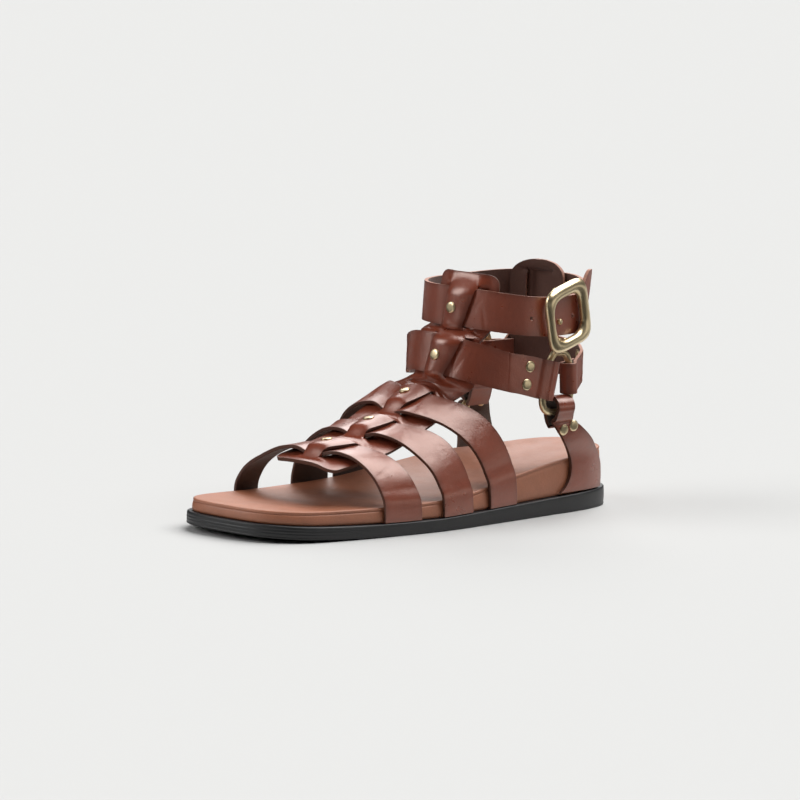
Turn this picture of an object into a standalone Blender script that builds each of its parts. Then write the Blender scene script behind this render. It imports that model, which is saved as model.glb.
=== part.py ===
"""Left footbed sandal: rubber outsole, contoured footbed, woven strap upper, rings and buckle."""

import math

import bmesh
import bpy
import numpy as np
from mathutils import Matrix, Vector

# Sizes are in millimetres and MM turns them into metres.
MM = 0.001

# Driving dimensions
LEATHER = 2.2
GAP = 0.35
FLAT_END = 168.0
TOE_LIFT = 3.4
HEEL_SOLE = 11.1
TOE_SOLE = 7.0
LEDGE = 2.9
RIM_LEAN = 0.8
STRAP_WIDTH = 21.5
LAYER = 1.7
BAND_HALF = 10.0
SLIT_HALF = 12.0
RIVET_RADIUS = 3.5
RIVET_HEIGHT = 1.5
RIVET_STAND = 0.35
FOLD_ROWS = 15
RIVET_SPREAD = 5.0
HEEL_RIVET_ROW = 16

# Plan edge of the outsole, left shoe: across (lateral is positive), along (from the heel)
SOLE_EDGE = (
    (0.0, 0.4),
    (22.6, 6.3),
    (34.0, 27.0),
    (39.3, 65.0),
    (44.1, 105.0),
    (48.2, 145.0),
    (46.9, 180.0),
    (43.8, 211.3),
    (37.9, 237.1),
    (22.3, 254.5),
    (-3.0, 261.8),
    (-27.0, 262.3),
    (-41.6, 250.6),
    (-47.9, 225.0),
    (-46.9, 185.0),
    (-40.3, 145.0),
    (-34.3, 105.0),
    (-33.2, 65.0),
    (-30.8, 27.0),
    (-20.7, 6.2),
)
HEEL_LATERAL, TOE_LATERAL, TOE_MEDIAL, HEEL_MEDIAL = 1, 8, 12, 19

# Footbed above the outsole: along, lateral rim, medial rim, bed
BED = (
    (0.0, 22.5, 22.5, 19.0),
    (25.0, 21.5, 21.5, 15.0),
    (50.0, 19.9, 20.8, 13.5),
    (90.0, 15.4, 20.6, 12.5),
    (125.0, 10.3, 16.3, 10.0),
    (160.0, 8.7, 11.3, 8.2),
    (200.0, 8.0, 8.2, 7.2),
    (262.0, 6.5, 6.5, 6.5),
)

# Foot form under the forefoot straps: along, crest height, ridge across, lateral and medial roundness
LAST = (
    (85.0, 93.6, -0.7, 1.88, 2.9),
    (112.0, 80.6, -0.8, 1.9, 3.4),
    (126.0, 73.9, -1.8, 1.89, 5.9),
    (140.0, 64.3, -1.4, 2.03, 6.5),
    (165.0, 52.3, 2.0, 2.1, 3.6),
    (190.0, 44.8, 4.0, 2.45, 3.0),
    (215.0, 39.2, 5.0, 2.65, 2.9),
)

# Along-foot place of each forefoot strap edge: medial base, medial shoulder, lateral shoulder, lateral base
SHOULDERS = (-1.0, -0.45, 0.45, 1.0)
FOREFOOT_STRAPS = (
    ((217.4, 208.6, 201.1, 187.9), (202.1, 190.0, 181.1, 163.6)),
    ((179.8, 174.9, 169.0, 148.2), (157.4, 159.5, 149.7, 126.1)),
    ((153.8, 147.6, 144.3, 112.0), (123.0, 128.3, 123.6, 90.4)),
)

# Plan loops of the ankle straps: centre across, centre along, turn, half width, half depth, roundness
UPPER_LOOP = (2.5, 65.7, 11.9, 39.3, 45.1, 2.82)
BACK_LOOP = (-0.5, 64.5, 11.9, 39.3, 42.0, 2.5)
LOWER_LOOP = (-1.1, 75.5, 16.6, 39.6, 47.7, 2.42)

# Height of a strap's middle round its loop: angle from the front towards the lateral side, height
UPPER_RISE = (
    (0.0, 115.9),
    (90.0, 111.3),
    (180.0, 119.4),
    (270.0, 117.6),
    (360.0, 115.9),
    (450.0, 111.3),
    (500.0, 113.0),
)
LOWER_RISE = (
    (-75.0, 85.5),
    (-50.0, 90.5),
    (-25.0, 91.5),
    (0.0, 90.0),
    (25.0, 86.6),
    (50.0, 82.1),
    (75.0, 77.6),
)
BACK_RISE = ((100.0, 78.0), (130.0, 80.0), (170.0, 83.0), (210.0, 85.5), (240.0, 83.0), (262.0, 81.5))

# Spine rows on the foot form: along, medial half, lateral half, rise of the centre band, skew, centre
SPINE_FOOT = (
    (214.5, 30.0, 25.0, 0.0, -0.24, 0.0),
    (211.0, 29.0, 25.0, 0.0, -0.22, 0.0),
    (207.5, 27.5, 25.0, 0.4, -0.2, 0.0),
    (204.0, 26.5, 25.5, 1.0, -0.17, 0.0),
    (195.0, 26.0, 26.0, 1.0, -0.15, 0.0),
    (187.0, 26.0, 26.0, 1.0, -0.15, 0.0),
    (182.5, 26.0, 26.0, 0.2, -0.15, 0.3),
    (176.5, 26.0, 26.0, 0.2, -0.15, 0.5),
    (172.0, 26.0, 26.0, 1.0, -0.15, 0.6),
    (164.0, 26.0, 26.0, 1.0, -0.15, 0.7),
    (156.5, 26.0, 26.0, 1.0, -0.15, 1.2),
    (151.0, 26.0, 26.0, 0.3, -0.15, 1.8),
    (146.5, 26.0, 26.0, 1.0, -0.15, 2.3),
    (137.0, 26.0, 26.0, 1.0, -0.15, 3.0),
    (129.0, 26.0, 25.0, 1.0, -0.15, 2.6),
    (124.0, 26.0, 23.5, 0.2, -0.15, 1.6),
)

# Spine rows on an ankle loop: height from the strap's middle, medial half, lateral half, band rise
SPINE_LOWER = (
    (-14.0, 25.5, 19.5, 0.1),
    (-10.5, 25.5, 19.0, 1.0),
    (0.0, 25.5, 19.0, 1.0),
    (10.0, 25.5, 19.5, 1.0),
)
SPINE_UPPER = (
    (-11.0, 25.0, 20.0, 0.9),
    (0.0, 24.5, 21.0, 1.0),
    (10.5, 24.0, 22.0, 1.0),
    (14.0, 21.5, 20.5, 0.2),
    (17.5, 15.0, 14.5, 0.0),
)

# Back tab rows: height, half width, rise of the centre band
TAB_ANGLE = 188.0
TAB = (
    (74.0, 14.0, 0.0),
    (84.0, 15.0, 0.0),
    (94.0, 16.0, 0.0),
    (103.0, 18.0, 0.2),
    (107.5, 18.5, 1.0),
    (118.5, 18.5, 1.0),
    (129.5, 18.0, 1.0),
    (133.5, 15.5, 0.2),
    (136.5, 10.0, 0.0),
)

# Rings: across, along, height of the centre, and the turn of the ring's plane in degrees
RING_LATERAL = (38.0, 59.5, 74.0, 3.0)
RING_MEDIAL = (-33.5, 55.0, 79.5, 4.0)
RING_HALF_WIDTH = 10.0
RING_HALF_HEIGHT = 16.5
RING_ROUNDNESS = 3.2
RING_LEAN_FRONT = 13.0
RING_LEAN_REAR = 3.5
REAR_TURN = 28.0
RING_WIRE = 2.0
FOLD_RADIUS = 4.6
FOLD_SET = 1.1
FOLD_SET_LOW = 0.77
FOLD_RAISE = 1.7
FOLD_RAISE_REAR = 2.95
HEEL_FOLD_HALF = 5.5

# Edges of a heel strap from the ring to the outsole: front along, rear along, height
HEEL_SHARES = (0.0, 0.2, 0.4, 0.6, 0.8, 1.0)
HEEL_LATERAL_EDGES = (
    (64.0, 46.0, 49.5),
    (57.5, 34.5, 43.5),
    (49.0, 24.0, 36.0),
    (44.5, 18.5, 29.0),
    (42.5, 16.0, 22.5),
    (45.0, 15.2, 16.5),
    (53.0, 15.0, 11.45),
)
HEEL_MEDIAL_EDGES = (
    (63.5, 46.0, 54.5),
    (66.0, 44.0, 46.5),
    (67.5, 43.0, 38.0),
    (69.0, 43.0, 30.0),
    (70.5, 42.0, 22.5),
    (73.0, 39.0, 16.5),
    (78.0, 34.0, 11.45),
)

# Buckle
BUCKLE_ANGLE = 89.0
BUCKLE_ROLL = 14.0
BUCKLE_HALF_LENGTH = 16.0
BUCKLE_HALF_HEIGHT = 15.0
BUCKLE_AHEAD = 1.0
BUCKLE_ROUNDNESS = 4.0
BUCKLE_BAR = (3.3, 2.6)
BUCKLE_SET = 4.0
BUCKLE_REACH = 3.39
CHAPE_BAR = 1.4
CHAPE_SET = 5.4


def through(table, column, x):
    """Smooth curve through one column of a table, read at x."""
    xs = np.array([row[0] for row in table])
    ys = np.array([row[column] for row in table])
    slopes = np.gradient(ys, xs)
    x = np.clip(np.asarray(x, float), xs[0], xs[-1])
    i = np.clip(np.searchsorted(xs, x) - 1, 0, len(xs) - 2)
    h = xs[i + 1] - xs[i]
    t = (x - xs[i]) / h
    rise = (2 * t**3 - 3 * t**2 + 1) * ys[i] + (3 * t**2 - 2 * t**3) * ys[i + 1]
    return rise + h * ((t**3 - 2 * t**2 + t) * slopes[i] + (t**3 - t**2) * slopes[i + 1])


def ease(a, b, x):
    """Rises smoothly from 0 at a to 1 at b."""
    t = np.clip((x - a) / (b - a), 0.0, 1.0)
    return t * t * (3 - 2 * t)


def edge_point(k):
    """Point of the outsole's plan edge at a place k between its table rows."""
    n = len(SOLE_EDGE)
    p = [np.array(SOLE_EDGE[(int(math.floor(k)) + i) % n]) for i in (-1, 0, 1, 2)]
    t = k - math.floor(k)
    bend = 2 * p[0] - 5 * p[1] + 4 * p[2] - p[3]
    turn = 3 * p[1] - p[0] - 3 * p[2] + p[3]
    return 0.5 * (2 * p[1] + (p[2] - p[0]) * t + bend * t**2 + turn * t**3)


def inset_point(k, inset):
    """The same point moved inwards by an inset."""
    along = edge_point(k + 0.02) - edge_point(k - 0.02)
    along /= np.linalg.norm(along)
    return edge_point(k) - inset * np.array((along[1], -along[0]))


def side(first, last, inset):
    """One side of the plan as a function of the share of its length."""
    points = np.array([inset_point(k, inset) for k in np.linspace(first, last, 120)])
    steps = np.linalg.norm(np.diff(points, axis=0), axis=1)
    share = np.concatenate(([0.0], np.cumsum(steps))) / steps.sum()
    return lambda f: np.array((np.interp(f, share, points[:, 0]), np.interp(f, share, points[:, 1])))


def plan(inset):
    """Patch from (heel to toe, medial to lateral) to a place on the sole, inside the inset edge."""
    n = len(SOLE_EDGE)
    heel = side(HEEL_MEDIAL, n + HEEL_LATERAL, inset)
    toe = side(TOE_MEDIAL, TOE_LATERAL, inset)
    lateral = side(HEEL_LATERAL, TOE_LATERAL, inset)
    medial = side(HEEL_MEDIAL, TOE_MEDIAL, inset)

    def place(u, v):
        ends = (1 - u) * heel(v) + u * toe(v)
        sides = (1 - v) * medial(u) + v * lateral(u)
        corners = (1 - u) * ((1 - v) * heel(0) + v * heel(1)) + u * ((1 - v) * toe(0) + v * toe(1))
        return ends + sides - corners

    return place


EDGE = np.array([edge_point(k) for k in np.linspace(0, len(SOLE_EDGE), 400)])
CENTRE = (EDGE.min(0) + EDGE.max(0)) / 2 + np.array((BUCKLE_REACH / 2, 0.0))
WALL = np.array([inset_point(k, LEDGE) for k in np.linspace(0, len(SOLE_EDGE), 400)])


def wall(s, lateral):
    """Middle of the leather where it runs down outside the footbed."""
    points = WALL[WALL[:, 0] > 0] if lateral else WALL[WALL[:, 0] <= 0]
    points = points[np.argsort(points[:, 1])]
    reach = LEATHER / 2 + GAP
    return np.interp(s, points[:, 1], points[:, 0]) + (reach if lateral else -reach)


def lift(s):
    """Toe spring."""
    return TOE_LIFT * np.clip((np.asarray(s, float) - FLAT_END) / (262.0 - FLAT_END), 0, 1.2) ** 2


def deck(s):
    """Top of the outsole."""
    return lift(s) + HEEL_SOLE + (TOE_SOLE - HEEL_SOLE) * np.clip(np.asarray(s, float) / 150.0, 0, 1)


def rim(s, lateral):
    """Top of the footbed's rim."""
    return deck(s) + GAP + through(BED, 1 if lateral else 2, s)


def bed_top(u, v, x, s):
    """Top of the footbed: rims at the edge, dished bed between them."""
    reach = (abs(2 * u - 1) ** 5 + abs(2 * v - 1) ** 5) ** 0.2
    lateral = ease(0.15, 0.85, v)
    edge = lateral * through(BED, 1, s) + (1 - lateral) * through(BED, 2, s)
    bed = through(BED, 3, s)
    return deck(s) + GAP + bed + (edge - bed) * min(reach, 1.0) ** 2.4


def foot(s, t, offset):
    """Point of the foot form at station s, t from the medial base to the lateral base."""
    lateral = t > 0
    c = min(abs(t), 1.0)
    power = through(LAST, 3 if lateral else 4, s)
    ridge = through(LAST, 2, s)
    base = deck(s) + GAP
    outer = wall(s, lateral) + (offset if lateral else -offset)
    x = ridge + (outer - ridge) * c
    z = base + (through(LAST, 1, s) + offset - base) * max(1 - c**power, 0.0) ** (1 / power)
    clear = ease(-1.0, 9.0, z - rim(s, lateral))
    return np.array((outer + (x - outer) * clear, s, z))


def loop(ring, angle, offset, z):
    """Point of an ankle loop at an angle from the front towards the lateral side."""
    across, along, turn, width, depth, power = ring
    a = math.radians(angle)
    turn = math.radians(turn)
    p = (width + offset) * math.copysign(abs(math.sin(a)) ** (2 / power), math.sin(a))
    q = (depth + offset) * math.copysign(abs(math.cos(a)) ** (2 / power), math.cos(a))
    x = across + p * math.cos(turn) + q * math.sin(turn)
    s = along - p * math.sin(turn) + q * math.cos(turn)
    return np.array((x, s, z))


def by_length(point, places, centre):
    """Turns a length w from the centre place into a place, along the line that point draws."""
    line = np.array([point(q) for q in places])
    steps = np.linalg.norm(np.diff(line, axis=0), axis=1)
    length = np.concatenate(([0.0], np.cumsum(steps)))
    length -= np.interp(centre, places, length)
    return lambda w: np.interp(w, length, places)


def smooth_line(points, per_step):
    """Curve through points, with per_step steps between each pair."""
    p = np.array(points)
    p = np.vstack((2 * p[0] - p[1], p, 2 * p[-1] - p[-2]))
    out = []
    for i in range(1, len(p) - 2):
        for k in range(per_step):
            t = k / per_step
            bend = 2 * p[i - 1] - 5 * p[i] + 4 * p[i + 1] - p[i + 2]
            turn = 3 * p[i] - p[i - 1] - 3 * p[i + 1] + p[i + 2]
            out.append(0.5 * (2 * p[i] + (p[i + 1] - p[i - 1]) * t + bend * t**2 + turn * t**3))
    out.append(p[-2])
    return np.array(out)


def world(point):
    """Place in metres, toe towards -Y and the sole's box centred on the origin."""
    return Vector(((point[0] - CENTRE[0]) * MM, (CENTRE[1] - point[1]) * MM, point[2] * MM))


def clear_scene():
    for obj in list(bpy.data.objects):
        bpy.data.objects.remove(obj)


def collection(name):
    made = bpy.data.collections.new(name)
    bpy.context.scene.collection.children.link(made)
    return made


def move_to(obj, home):
    for other in list(obj.users_collection):
        other.objects.unlink(obj)
    home.objects.link(obj)


def material(name, colour, metallic, roughness):
    made = bpy.data.materials.new(name)
    made.use_nodes = True
    shader = made.node_tree.nodes["Principled BSDF"]
    shader.inputs["Base Color"].default_value = (*colour, 1.0)
    shader.inputs["Metallic"].default_value = metallic
    shader.inputs["Roughness"].default_value = roughness
    return made


def finish(obj, name, home, look):
    obj.name = name
    obj.data.name = name
    obj.data.materials.clear()
    obj.data.materials.append(look)
    move_to(obj, home)
    return obj


def grid(columns, rows):
    bpy.ops.mesh.primitive_grid_add(x_subdivisions=columns, y_subdivisions=rows, size=1.0)
    return bpy.context.object


def slab(name, size, plans, heights, home, look):
    """Solid between a top and a bottom patch, with its edge rounded."""
    obj = grid(*size)
    bm = bmesh.new()
    bm.from_mesh(obj.data)
    under = bmesh.ops.extrude_face_region(bm, geom=bm.faces[:])
    below = {item for item in under["geom"] if isinstance(item, bmesh.types.BMVert)}
    for vertex in bm.verts:
        u, v = vertex.co.x + 0.5, vertex.co.y + 0.5
        layer = 1 if vertex in below else 0
        x, s = plans[layer](u, v)
        vertex.co = world((x, s, heights[layer](u, v, x, s)))
    bmesh.ops.recalc_face_normals(bm, faces=bm.faces[:])
    bm.to_mesh(obj.data)
    bm.free()
    bevel = obj.modifiers.new("rounded edge", "BEVEL")
    bevel.width = 1.0 * MM
    bevel.segments = 1
    bevel.limit_method = "ANGLE"
    bevel.angle_limit = math.radians(50)
    return finish(obj, name, home, look)


def sheet(name, points, home, look):
    """Leather sheet through a grid of points, with real thickness."""
    columns, rows = points.shape[0] - 1, points.shape[1] - 1
    obj = grid(columns, rows)
    for vertex in obj.data.vertices:
        i = round((vertex.co.x + 0.5) * columns)
        j = round((vertex.co.y + 0.5) * rows)
        vertex.co = world(points[i, j])
    wall_thickness = obj.modifiers.new("leather thickness", "SOLIDIFY")
    wall_thickness.thickness = LEATHER * MM
    wall_thickness.offset = 0.0
    return finish(obj, name, home, look)


def ribbon(name, first, second, home, look):
    """Strap between two edge lines."""
    middle = (first + second) / 2
    return sheet(name, np.stack((first, middle, second), axis=1), home, look)


def join(obj, others, home):
    """Boolean union of one piece with others, which stay as hidden helpers."""
    for other in others:
        union = obj.modifiers.new("join " + other.name, "BOOLEAN")
        union.operation = "UNION"
        union.solver = "EXACT"
        union.object = other
        other.hide_render = True
        other.display_type = "WIRE"
        move_to(other, home)
    return obj


def tube(name, points, radius, cyclic, home, look):
    """Round wire along points."""
    data = bpy.data.curves.new(name, "CURVE")
    data.dimensions = "3D"
    data.bevel_depth = radius * MM
    data.bevel_resolution = 1
    data.use_fill_caps = not cyclic
    spline = data.splines.new("POLY")
    spline.points.add(len(points) - 1)
    spline.use_cyclic_u = cyclic
    for place, point in zip(spline.points, points):
        place.co = (*world(point), 1.0)
    obj = bpy.data.objects.new(name, data)
    home.objects.link(obj)
    data.materials.append(look)
    return obj


def frame_of(turn):
    """Forward and outward directions of an upright plane turned about the vertical."""
    a = math.radians(turn)
    forward = np.array((math.sin(a), math.cos(a), 0.0))
    lateral = np.array((math.cos(a), -math.sin(a), 0.0))
    return forward, lateral


def fold(radius, reach, back):
    """Profile of a strap end folded round a bar: along the strap and outwards from the bar."""
    layer = LEATHER / 2 + 0.2
    turn = [math.radians(q) for q in range(60, 301, 30)]
    way_in = [(reach, layer), (min(radius + 5.0, reach - 2.0), layer + 0.4), (radius + 2.0, radius * 0.62)]
    way_out = [(radius + 2.0, -radius * 0.62), (radius + 5.0, -layer - 0.3), (back, -layer)]
    return way_in + [(radius * math.cos(q), radius * math.sin(q)) for q in turn] + way_out


def folded(centre, ahead, outward, across, half, profile):
    """Two edge lines of a folded strap end, from the strap to its cut end."""
    middle = np.array([centre + a * ahead + n * outward for a, n in profile])
    return middle + half * across, middle - half * across


def forefoot_strap(number):
    front, rear = FOREFOOT_STRAPS[number]
    front = tuple(zip(SHOULDERS, front))
    rear = tuple(zip(SHOULDERS, rear))
    ts = [math.sin(math.radians(q)) for q in np.linspace(-90, 90, 29)]
    rows = []
    for t in ts:
        ends = (through(front, 1, t), through(rear, 1, t))
        rows.append([foot(ends[0] + (ends[1] - ends[0]) * f, t, 0.0) for f in (0.0, 0.5, 1.0)])
    return np.array(rows)


def across_columns(medial, lateral):
    """Places across a slit panel, from its medial edge to its lateral edge."""
    inner = (BAND_HALF / 2, BAND_HALF, SLIT_HALF)
    left = [-medial, -(SLIT_HALF + medial) / 2] + [-w for w in inner[::-1]]
    return left + [0.0] + list(inner) + [(SLIT_HALF + lateral) / 2, lateral]


def layer_offset(w, band):
    """Offset of a slit panel: its wings lie under the strap and its centre band over it."""
    return -LAYER + 2 * LAYER * band * (1 - ease(BAND_HALF, SLIT_HALF, abs(w)))


def spine_points():
    rows = []
    for s, medial, lateral, band, skew, centre in SPINE_FOOT:
        place = by_length(lambda t: foot(s, t, 0.0), np.linspace(-0.95, 0.95, 77), 0.0)
        row = []
        for w in across_columns(medial, lateral):
            row.append(foot(s + skew * w, float(place(w + centre)), layer_offset(w, band)))
        rows.append(row)
    for ring, rise, table in ((LOWER_LOOP, LOWER_RISE, SPINE_LOWER), (UPPER_LOOP, UPPER_RISE, SPINE_UPPER)):
        place = by_length(lambda q: loop(ring, q, 0.0, 0.0), np.linspace(-80, 80, 81), 0.0)
        for dz, medial, lateral, band in table:
            row = []
            for w in across_columns(medial, lateral):
                angle = float(place(w))
                z = through(rise, 1, angle) if ring is LOWER_LOOP else through(UPPER_RISE, 1, angle % 360)
                row.append(loop(ring, angle, layer_offset(w, band), z + dz))
            rows.append(row)
    return np.array(rows)


def tab_points():
    """Back tab: on the back strap's loop low down, on the ankle strap's loop higher up."""
    place = by_length(lambda q: loop(UPPER_LOOP, q, 0.0, 0.0), np.linspace(110, 270, 81), TAB_ANGLE)
    rows = []
    for z, half, band in TAB:
        high = ease(88.0, 105.0, z)
        row = []
        for w in across_columns(half, half):
            offset = layer_offset(w, band)
            low = loop(BACK_LOOP, float(place(w)), offset, z)
            row.append(low + high * (loop(UPPER_LOOP, float(place(w)), offset, z) - low))
        rows.append(row)
    return np.array(rows)


def ring_bar(ring, toward):
    """Middle of a ring's front (1), rear (-1) or bottom (0) bar, with the way the strap leaves it."""
    centre = np.array(ring[:3])
    forward, lateral = frame_of(ring[3])
    outward = lateral if ring[0] > 0 else -lateral
    up = np.array((0.0, 0.0, 1.0))
    if toward:
        lean = math.radians(RING_LEAN_FRONT if toward > 0 else RING_LEAN_REAR)
        ahead = math.cos(lean) * toward * forward + math.sin(lean) * up
        across = math.cos(lean) * up - math.sin(lean) * toward * forward
        turn = math.radians(REAR_TURN) if toward < 0 else 0.0
        ahead, out = ahead * math.cos(turn) - outward * math.sin(turn), outward
        outward = out * math.cos(turn) + toward * forward * math.sin(turn)
        return centre + toward * forward * (RING_HALF_WIDTH - FOLD_SET), ahead, outward, across
    return centre - up * (RING_HALF_HEIGHT - FOLD_SET_LOW), -up, outward, forward


def lower_ankle_strap():
    half = STRAP_WIDTH / 2
    profile = fold(FOLD_RADIUS, 17.0, 21.0)
    up = np.array((0.0, 0.0, 1.0))
    bars = []
    for ring in (RING_LATERAL, RING_MEDIAL):
        bar, ahead, outward, across = ring_bar(ring, 1)
        bars.append(folded(bar + FOLD_RAISE * across, ahead, outward, across, half, profile))
    body = [loop(LOWER_LOOP, q, 0.0, float(through(LOWER_RISE, 1, q))) for q in range(54, -61, -6)]
    body = np.array(body + [np.array((-34.6, 91.0, 86.0))])
    edges = []
    for k, sign in ((0, 1), (1, -1)):
        edges.append(np.vstack((bars[0][k][::-1], body + sign * half * up, bars[1][k])))
    return edges


def upper_ankle_strap():
    half = STRAP_WIDTH / 2
    up = np.array((0.0, 0.0, 1.0))
    forward, outward = frame_of(UPPER_LOOP[2])
    height = float(through(UPPER_RISE, 1, BUCKLE_ANGLE))
    bar = loop(UPPER_LOOP, BUCKLE_ANGLE, 0.0, height) + BUCKLE_AHEAD * forward - CHAPE_SET * outward
    profile = fold(CHAPE_BAR + 0.35 + LEATHER / 2, 9.0, 15.0)
    ends = folded(bar, -forward, outward, up, half - 1.0, profile)
    chape = [(118.0, -2.7), (128.0, -2.7), (140.0, -2.3), (152.0, -1.2), (163.0, 0.0)]
    round_leg = [(q, 0.0) for q in range(171, 434, 8)]
    free = [(441.0, 0.0), (449.0, 0.0), (457.0, 0.0), (463.0, 0.2), (468.5, 0.6), (473.5, 1.2), (478.5, 2.0)]
    rise = {457.0: 0.5, 463.0: 3.0, 468.5: 8.0, 473.5: 14.5, 478.5: 21.5}
    narrow = {473.5: 0.75, 478.5: 0.12}
    first, second = [], []
    for q, offset in chape + round_leg + free:
        z = float(through(UPPER_RISE, 1, q)) + rise.get(q, 0.0)
        point = loop(UPPER_LOOP, q, offset, z)
        first.append(point + half * narrow.get(q, 1.0) * up)
        second.append(point - half * narrow.get(q, 1.0) * up)
    return [np.vstack((ends[k][::-1], line)) for k, line in ((0, first), (1, second))]


def back_strap():
    half = STRAP_WIDTH / 2
    up = np.array((0.0, 0.0, 1.0))
    profile = fold(FOLD_RADIUS, 10.5, 15.0)
    bars = []
    for ring in (RING_LATERAL, RING_MEDIAL):
        bar, ahead, outward, across = ring_bar(ring, -1)
        bars.append(folded(bar + FOLD_RAISE_REAR * across, ahead, outward, across, half, profile))
    body = [loop(BACK_LOOP, q, 0.0, float(through(BACK_RISE, 1, q))) for q in range(126, 211, 7)]
    body = np.array(body)
    return [
        np.vstack((bars[0][k][::-1], body + sign * half * up, bars[1][k])) for k, sign in ((0, 1), (1, -1))
    ]


def heel_strap(ring, edges):
    """Side strap: folded at the ring, leaning to the footbed's wall and flared at the outsole."""
    lateral = ring[0] > 0
    bar, ahead, outward, across = ring_bar(ring, 0)
    profile = fold(FOLD_RADIUS, 10.0, 10.6)
    end = folded(bar, ahead, outward, across, HEEL_FOLD_HALF, profile)
    plane = ring[0] + (1.2 if lateral else -1.2)
    fine = smooth_line(edges, 2)
    grid_rows = []
    for front, rear in zip(end[0][::-1], end[1][::-1]):
        grid_rows.append([front + (rear - front) * f for f in HEEL_SHARES])
    for front, rear, height in fine:
        row = []
        for f in HEEL_SHARES:
            s = front + (rear - front) * f
            high = ease(float(rim(s, lateral)) - 1.0, 50.0, height)
            low = max(height, float(deck(s)) + GAP)
            row.append(np.array((wall(s, lateral) * (1 - high) + plane * high, s, low)))
        grid_rows.append(row)
    return np.array(grid_rows)


def ring_path(ring):
    centre = np.array(ring[:3])
    forward, _ = frame_of(ring[3])
    up = np.array((0.0, 0.0, 1.0))
    path = []
    for q in np.linspace(0, 2 * math.pi, 28, endpoint=False):
        c = math.copysign(abs(math.cos(q)) ** (2 / RING_ROUNDNESS), math.cos(q))
        h = math.copysign(abs(math.sin(q)) ** (2 / RING_ROUNDNESS), math.sin(q))
        lean = math.tan(math.radians(RING_LEAN_FRONT if c > 0 else RING_LEAN_REAR))
        reach = RING_HALF_WIDTH - RING_HALF_HEIGHT * h * lean
        path.append(centre + reach * c * forward + RING_HALF_HEIGHT * h * up)
    return path


def buckle_frame():
    """Origin, forward, up and outward directions of the buckle."""
    forward, outward = frame_of(UPPER_LOOP[2])
    height = float(through(UPPER_RISE, 1, BUCKLE_ANGLE))
    centre = loop(UPPER_LOOP, BUCKLE_ANGLE, 0.0, height) + BUCKLE_AHEAD * forward
    roll = math.radians(BUCKLE_ROLL)
    up = np.array((0.0, 0.0, 1.0))
    along = math.cos(roll) * forward - math.sin(roll) * up
    return centre, along, math.sin(roll) * forward + math.cos(roll) * up, outward


def buckle(name, home, helpers, look):
    """Puffy rounded frame from a torus, joined to the bar that the strap end folds round."""
    centre, forward, up, outward = buckle_frame()
    bpy.ops.mesh.primitive_torus_add(major_segments=40, minor_segments=8, major_radius=1.0, minor_radius=0.25)
    obj = bpy.context.object
    for vertex in obj.data.vertices:
        x, y, z = vertex.co
        q = math.atan2(y, x)
        c = math.copysign(abs(math.cos(q)) ** (2 / BUCKLE_ROUNDNESS), math.cos(q))
        h = math.copysign(abs(math.sin(q)) ** (2 / BUCKLE_ROUNDNESS), math.sin(q))
        out = (math.hypot(x, y) - 1.0) / 0.25
        a = (BUCKLE_HALF_LENGTH + out * BUCKLE_BAR[0]) * c
        b = (BUCKLE_HALF_HEIGHT + out * BUCKLE_BAR[0]) * h
        n = BUCKLE_SET + BUCKLE_BAR[1] * z / 0.25
        vertex.co = world(centre + a * forward + b * up + n * outward)
    bm = bmesh.new()
    bm.from_mesh(obj.data)
    bmesh.ops.recalc_face_normals(bm, faces=bm.faces[:])
    bm.to_mesh(obj.data)
    bm.free()
    frame = finish(obj, name, home, look)
    upright = np.array((0.0, 0.0, 1.0))
    reach = BUCKLE_HALF_HEIGHT
    low = -CHAPE_SET
    bend = [(reach, 3.0), (reach, 0.0), (reach - 0.4, low + 1.5), (reach - 1.6, low), (-reach + 1.6, low)]
    bend += [(-reach + 0.4, low + 1.5), (-reach, 0.0), (-reach, 3.0)]
    points = [centre + b * upright + n * outward for b, n in bend]
    bar = tube(name + "_bar_line", points, CHAPE_BAR, False, home, look)
    bpy.context.view_layer.update()
    solid = bpy.data.meshes.new_from_object(bar.evaluated_get(bpy.context.evaluated_depsgraph_get()))
    bpy.data.objects.remove(bar)
    bar = bpy.data.objects.new(name + "_bar", solid)
    home.objects.link(bar)
    return join(frame, [bar], helpers)


def rivet(name, point, outward, home, look):
    """Low domed rivet head standing just off the leather."""
    bpy.ops.mesh.primitive_cylinder_add(vertices=14, radius=RIVET_RADIUS * MM, depth=RIVET_HEIGHT * MM)
    obj = bpy.context.object
    bevel = obj.modifiers.new("dome", "BEVEL")
    bevel.width = 0.55 * MM
    bevel.segments = 1
    bevel.limit_method = "ANGLE"
    turn = Vector((outward[0], -outward[1], outward[2])).to_track_quat("Z", "Y").to_matrix().to_4x4()
    seat = np.array(point) + outward * (GAP + RIVET_HEIGHT / 2)
    obj.data.transform(Matrix.Translation(world(seat)) @ turn)
    return finish(obj, name, home, look)


def normal_at(points, i, j):
    """Outward direction of a grid of points, away from the leg's middle."""
    along = points[i + 1, j] - points[i - 1, j]
    across = points[i, j + 1] - points[i, j - 1]
    n = np.cross(along, across)
    n /= np.linalg.norm(n)
    middle = np.array((0.0, points[i, j][1] - 20.0, 10.0 if points[i, j][2] < 75 else points[i, j][2] - 20.0))
    return n if np.dot(n, points[i, j] - middle) > 0 else -n


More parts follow.
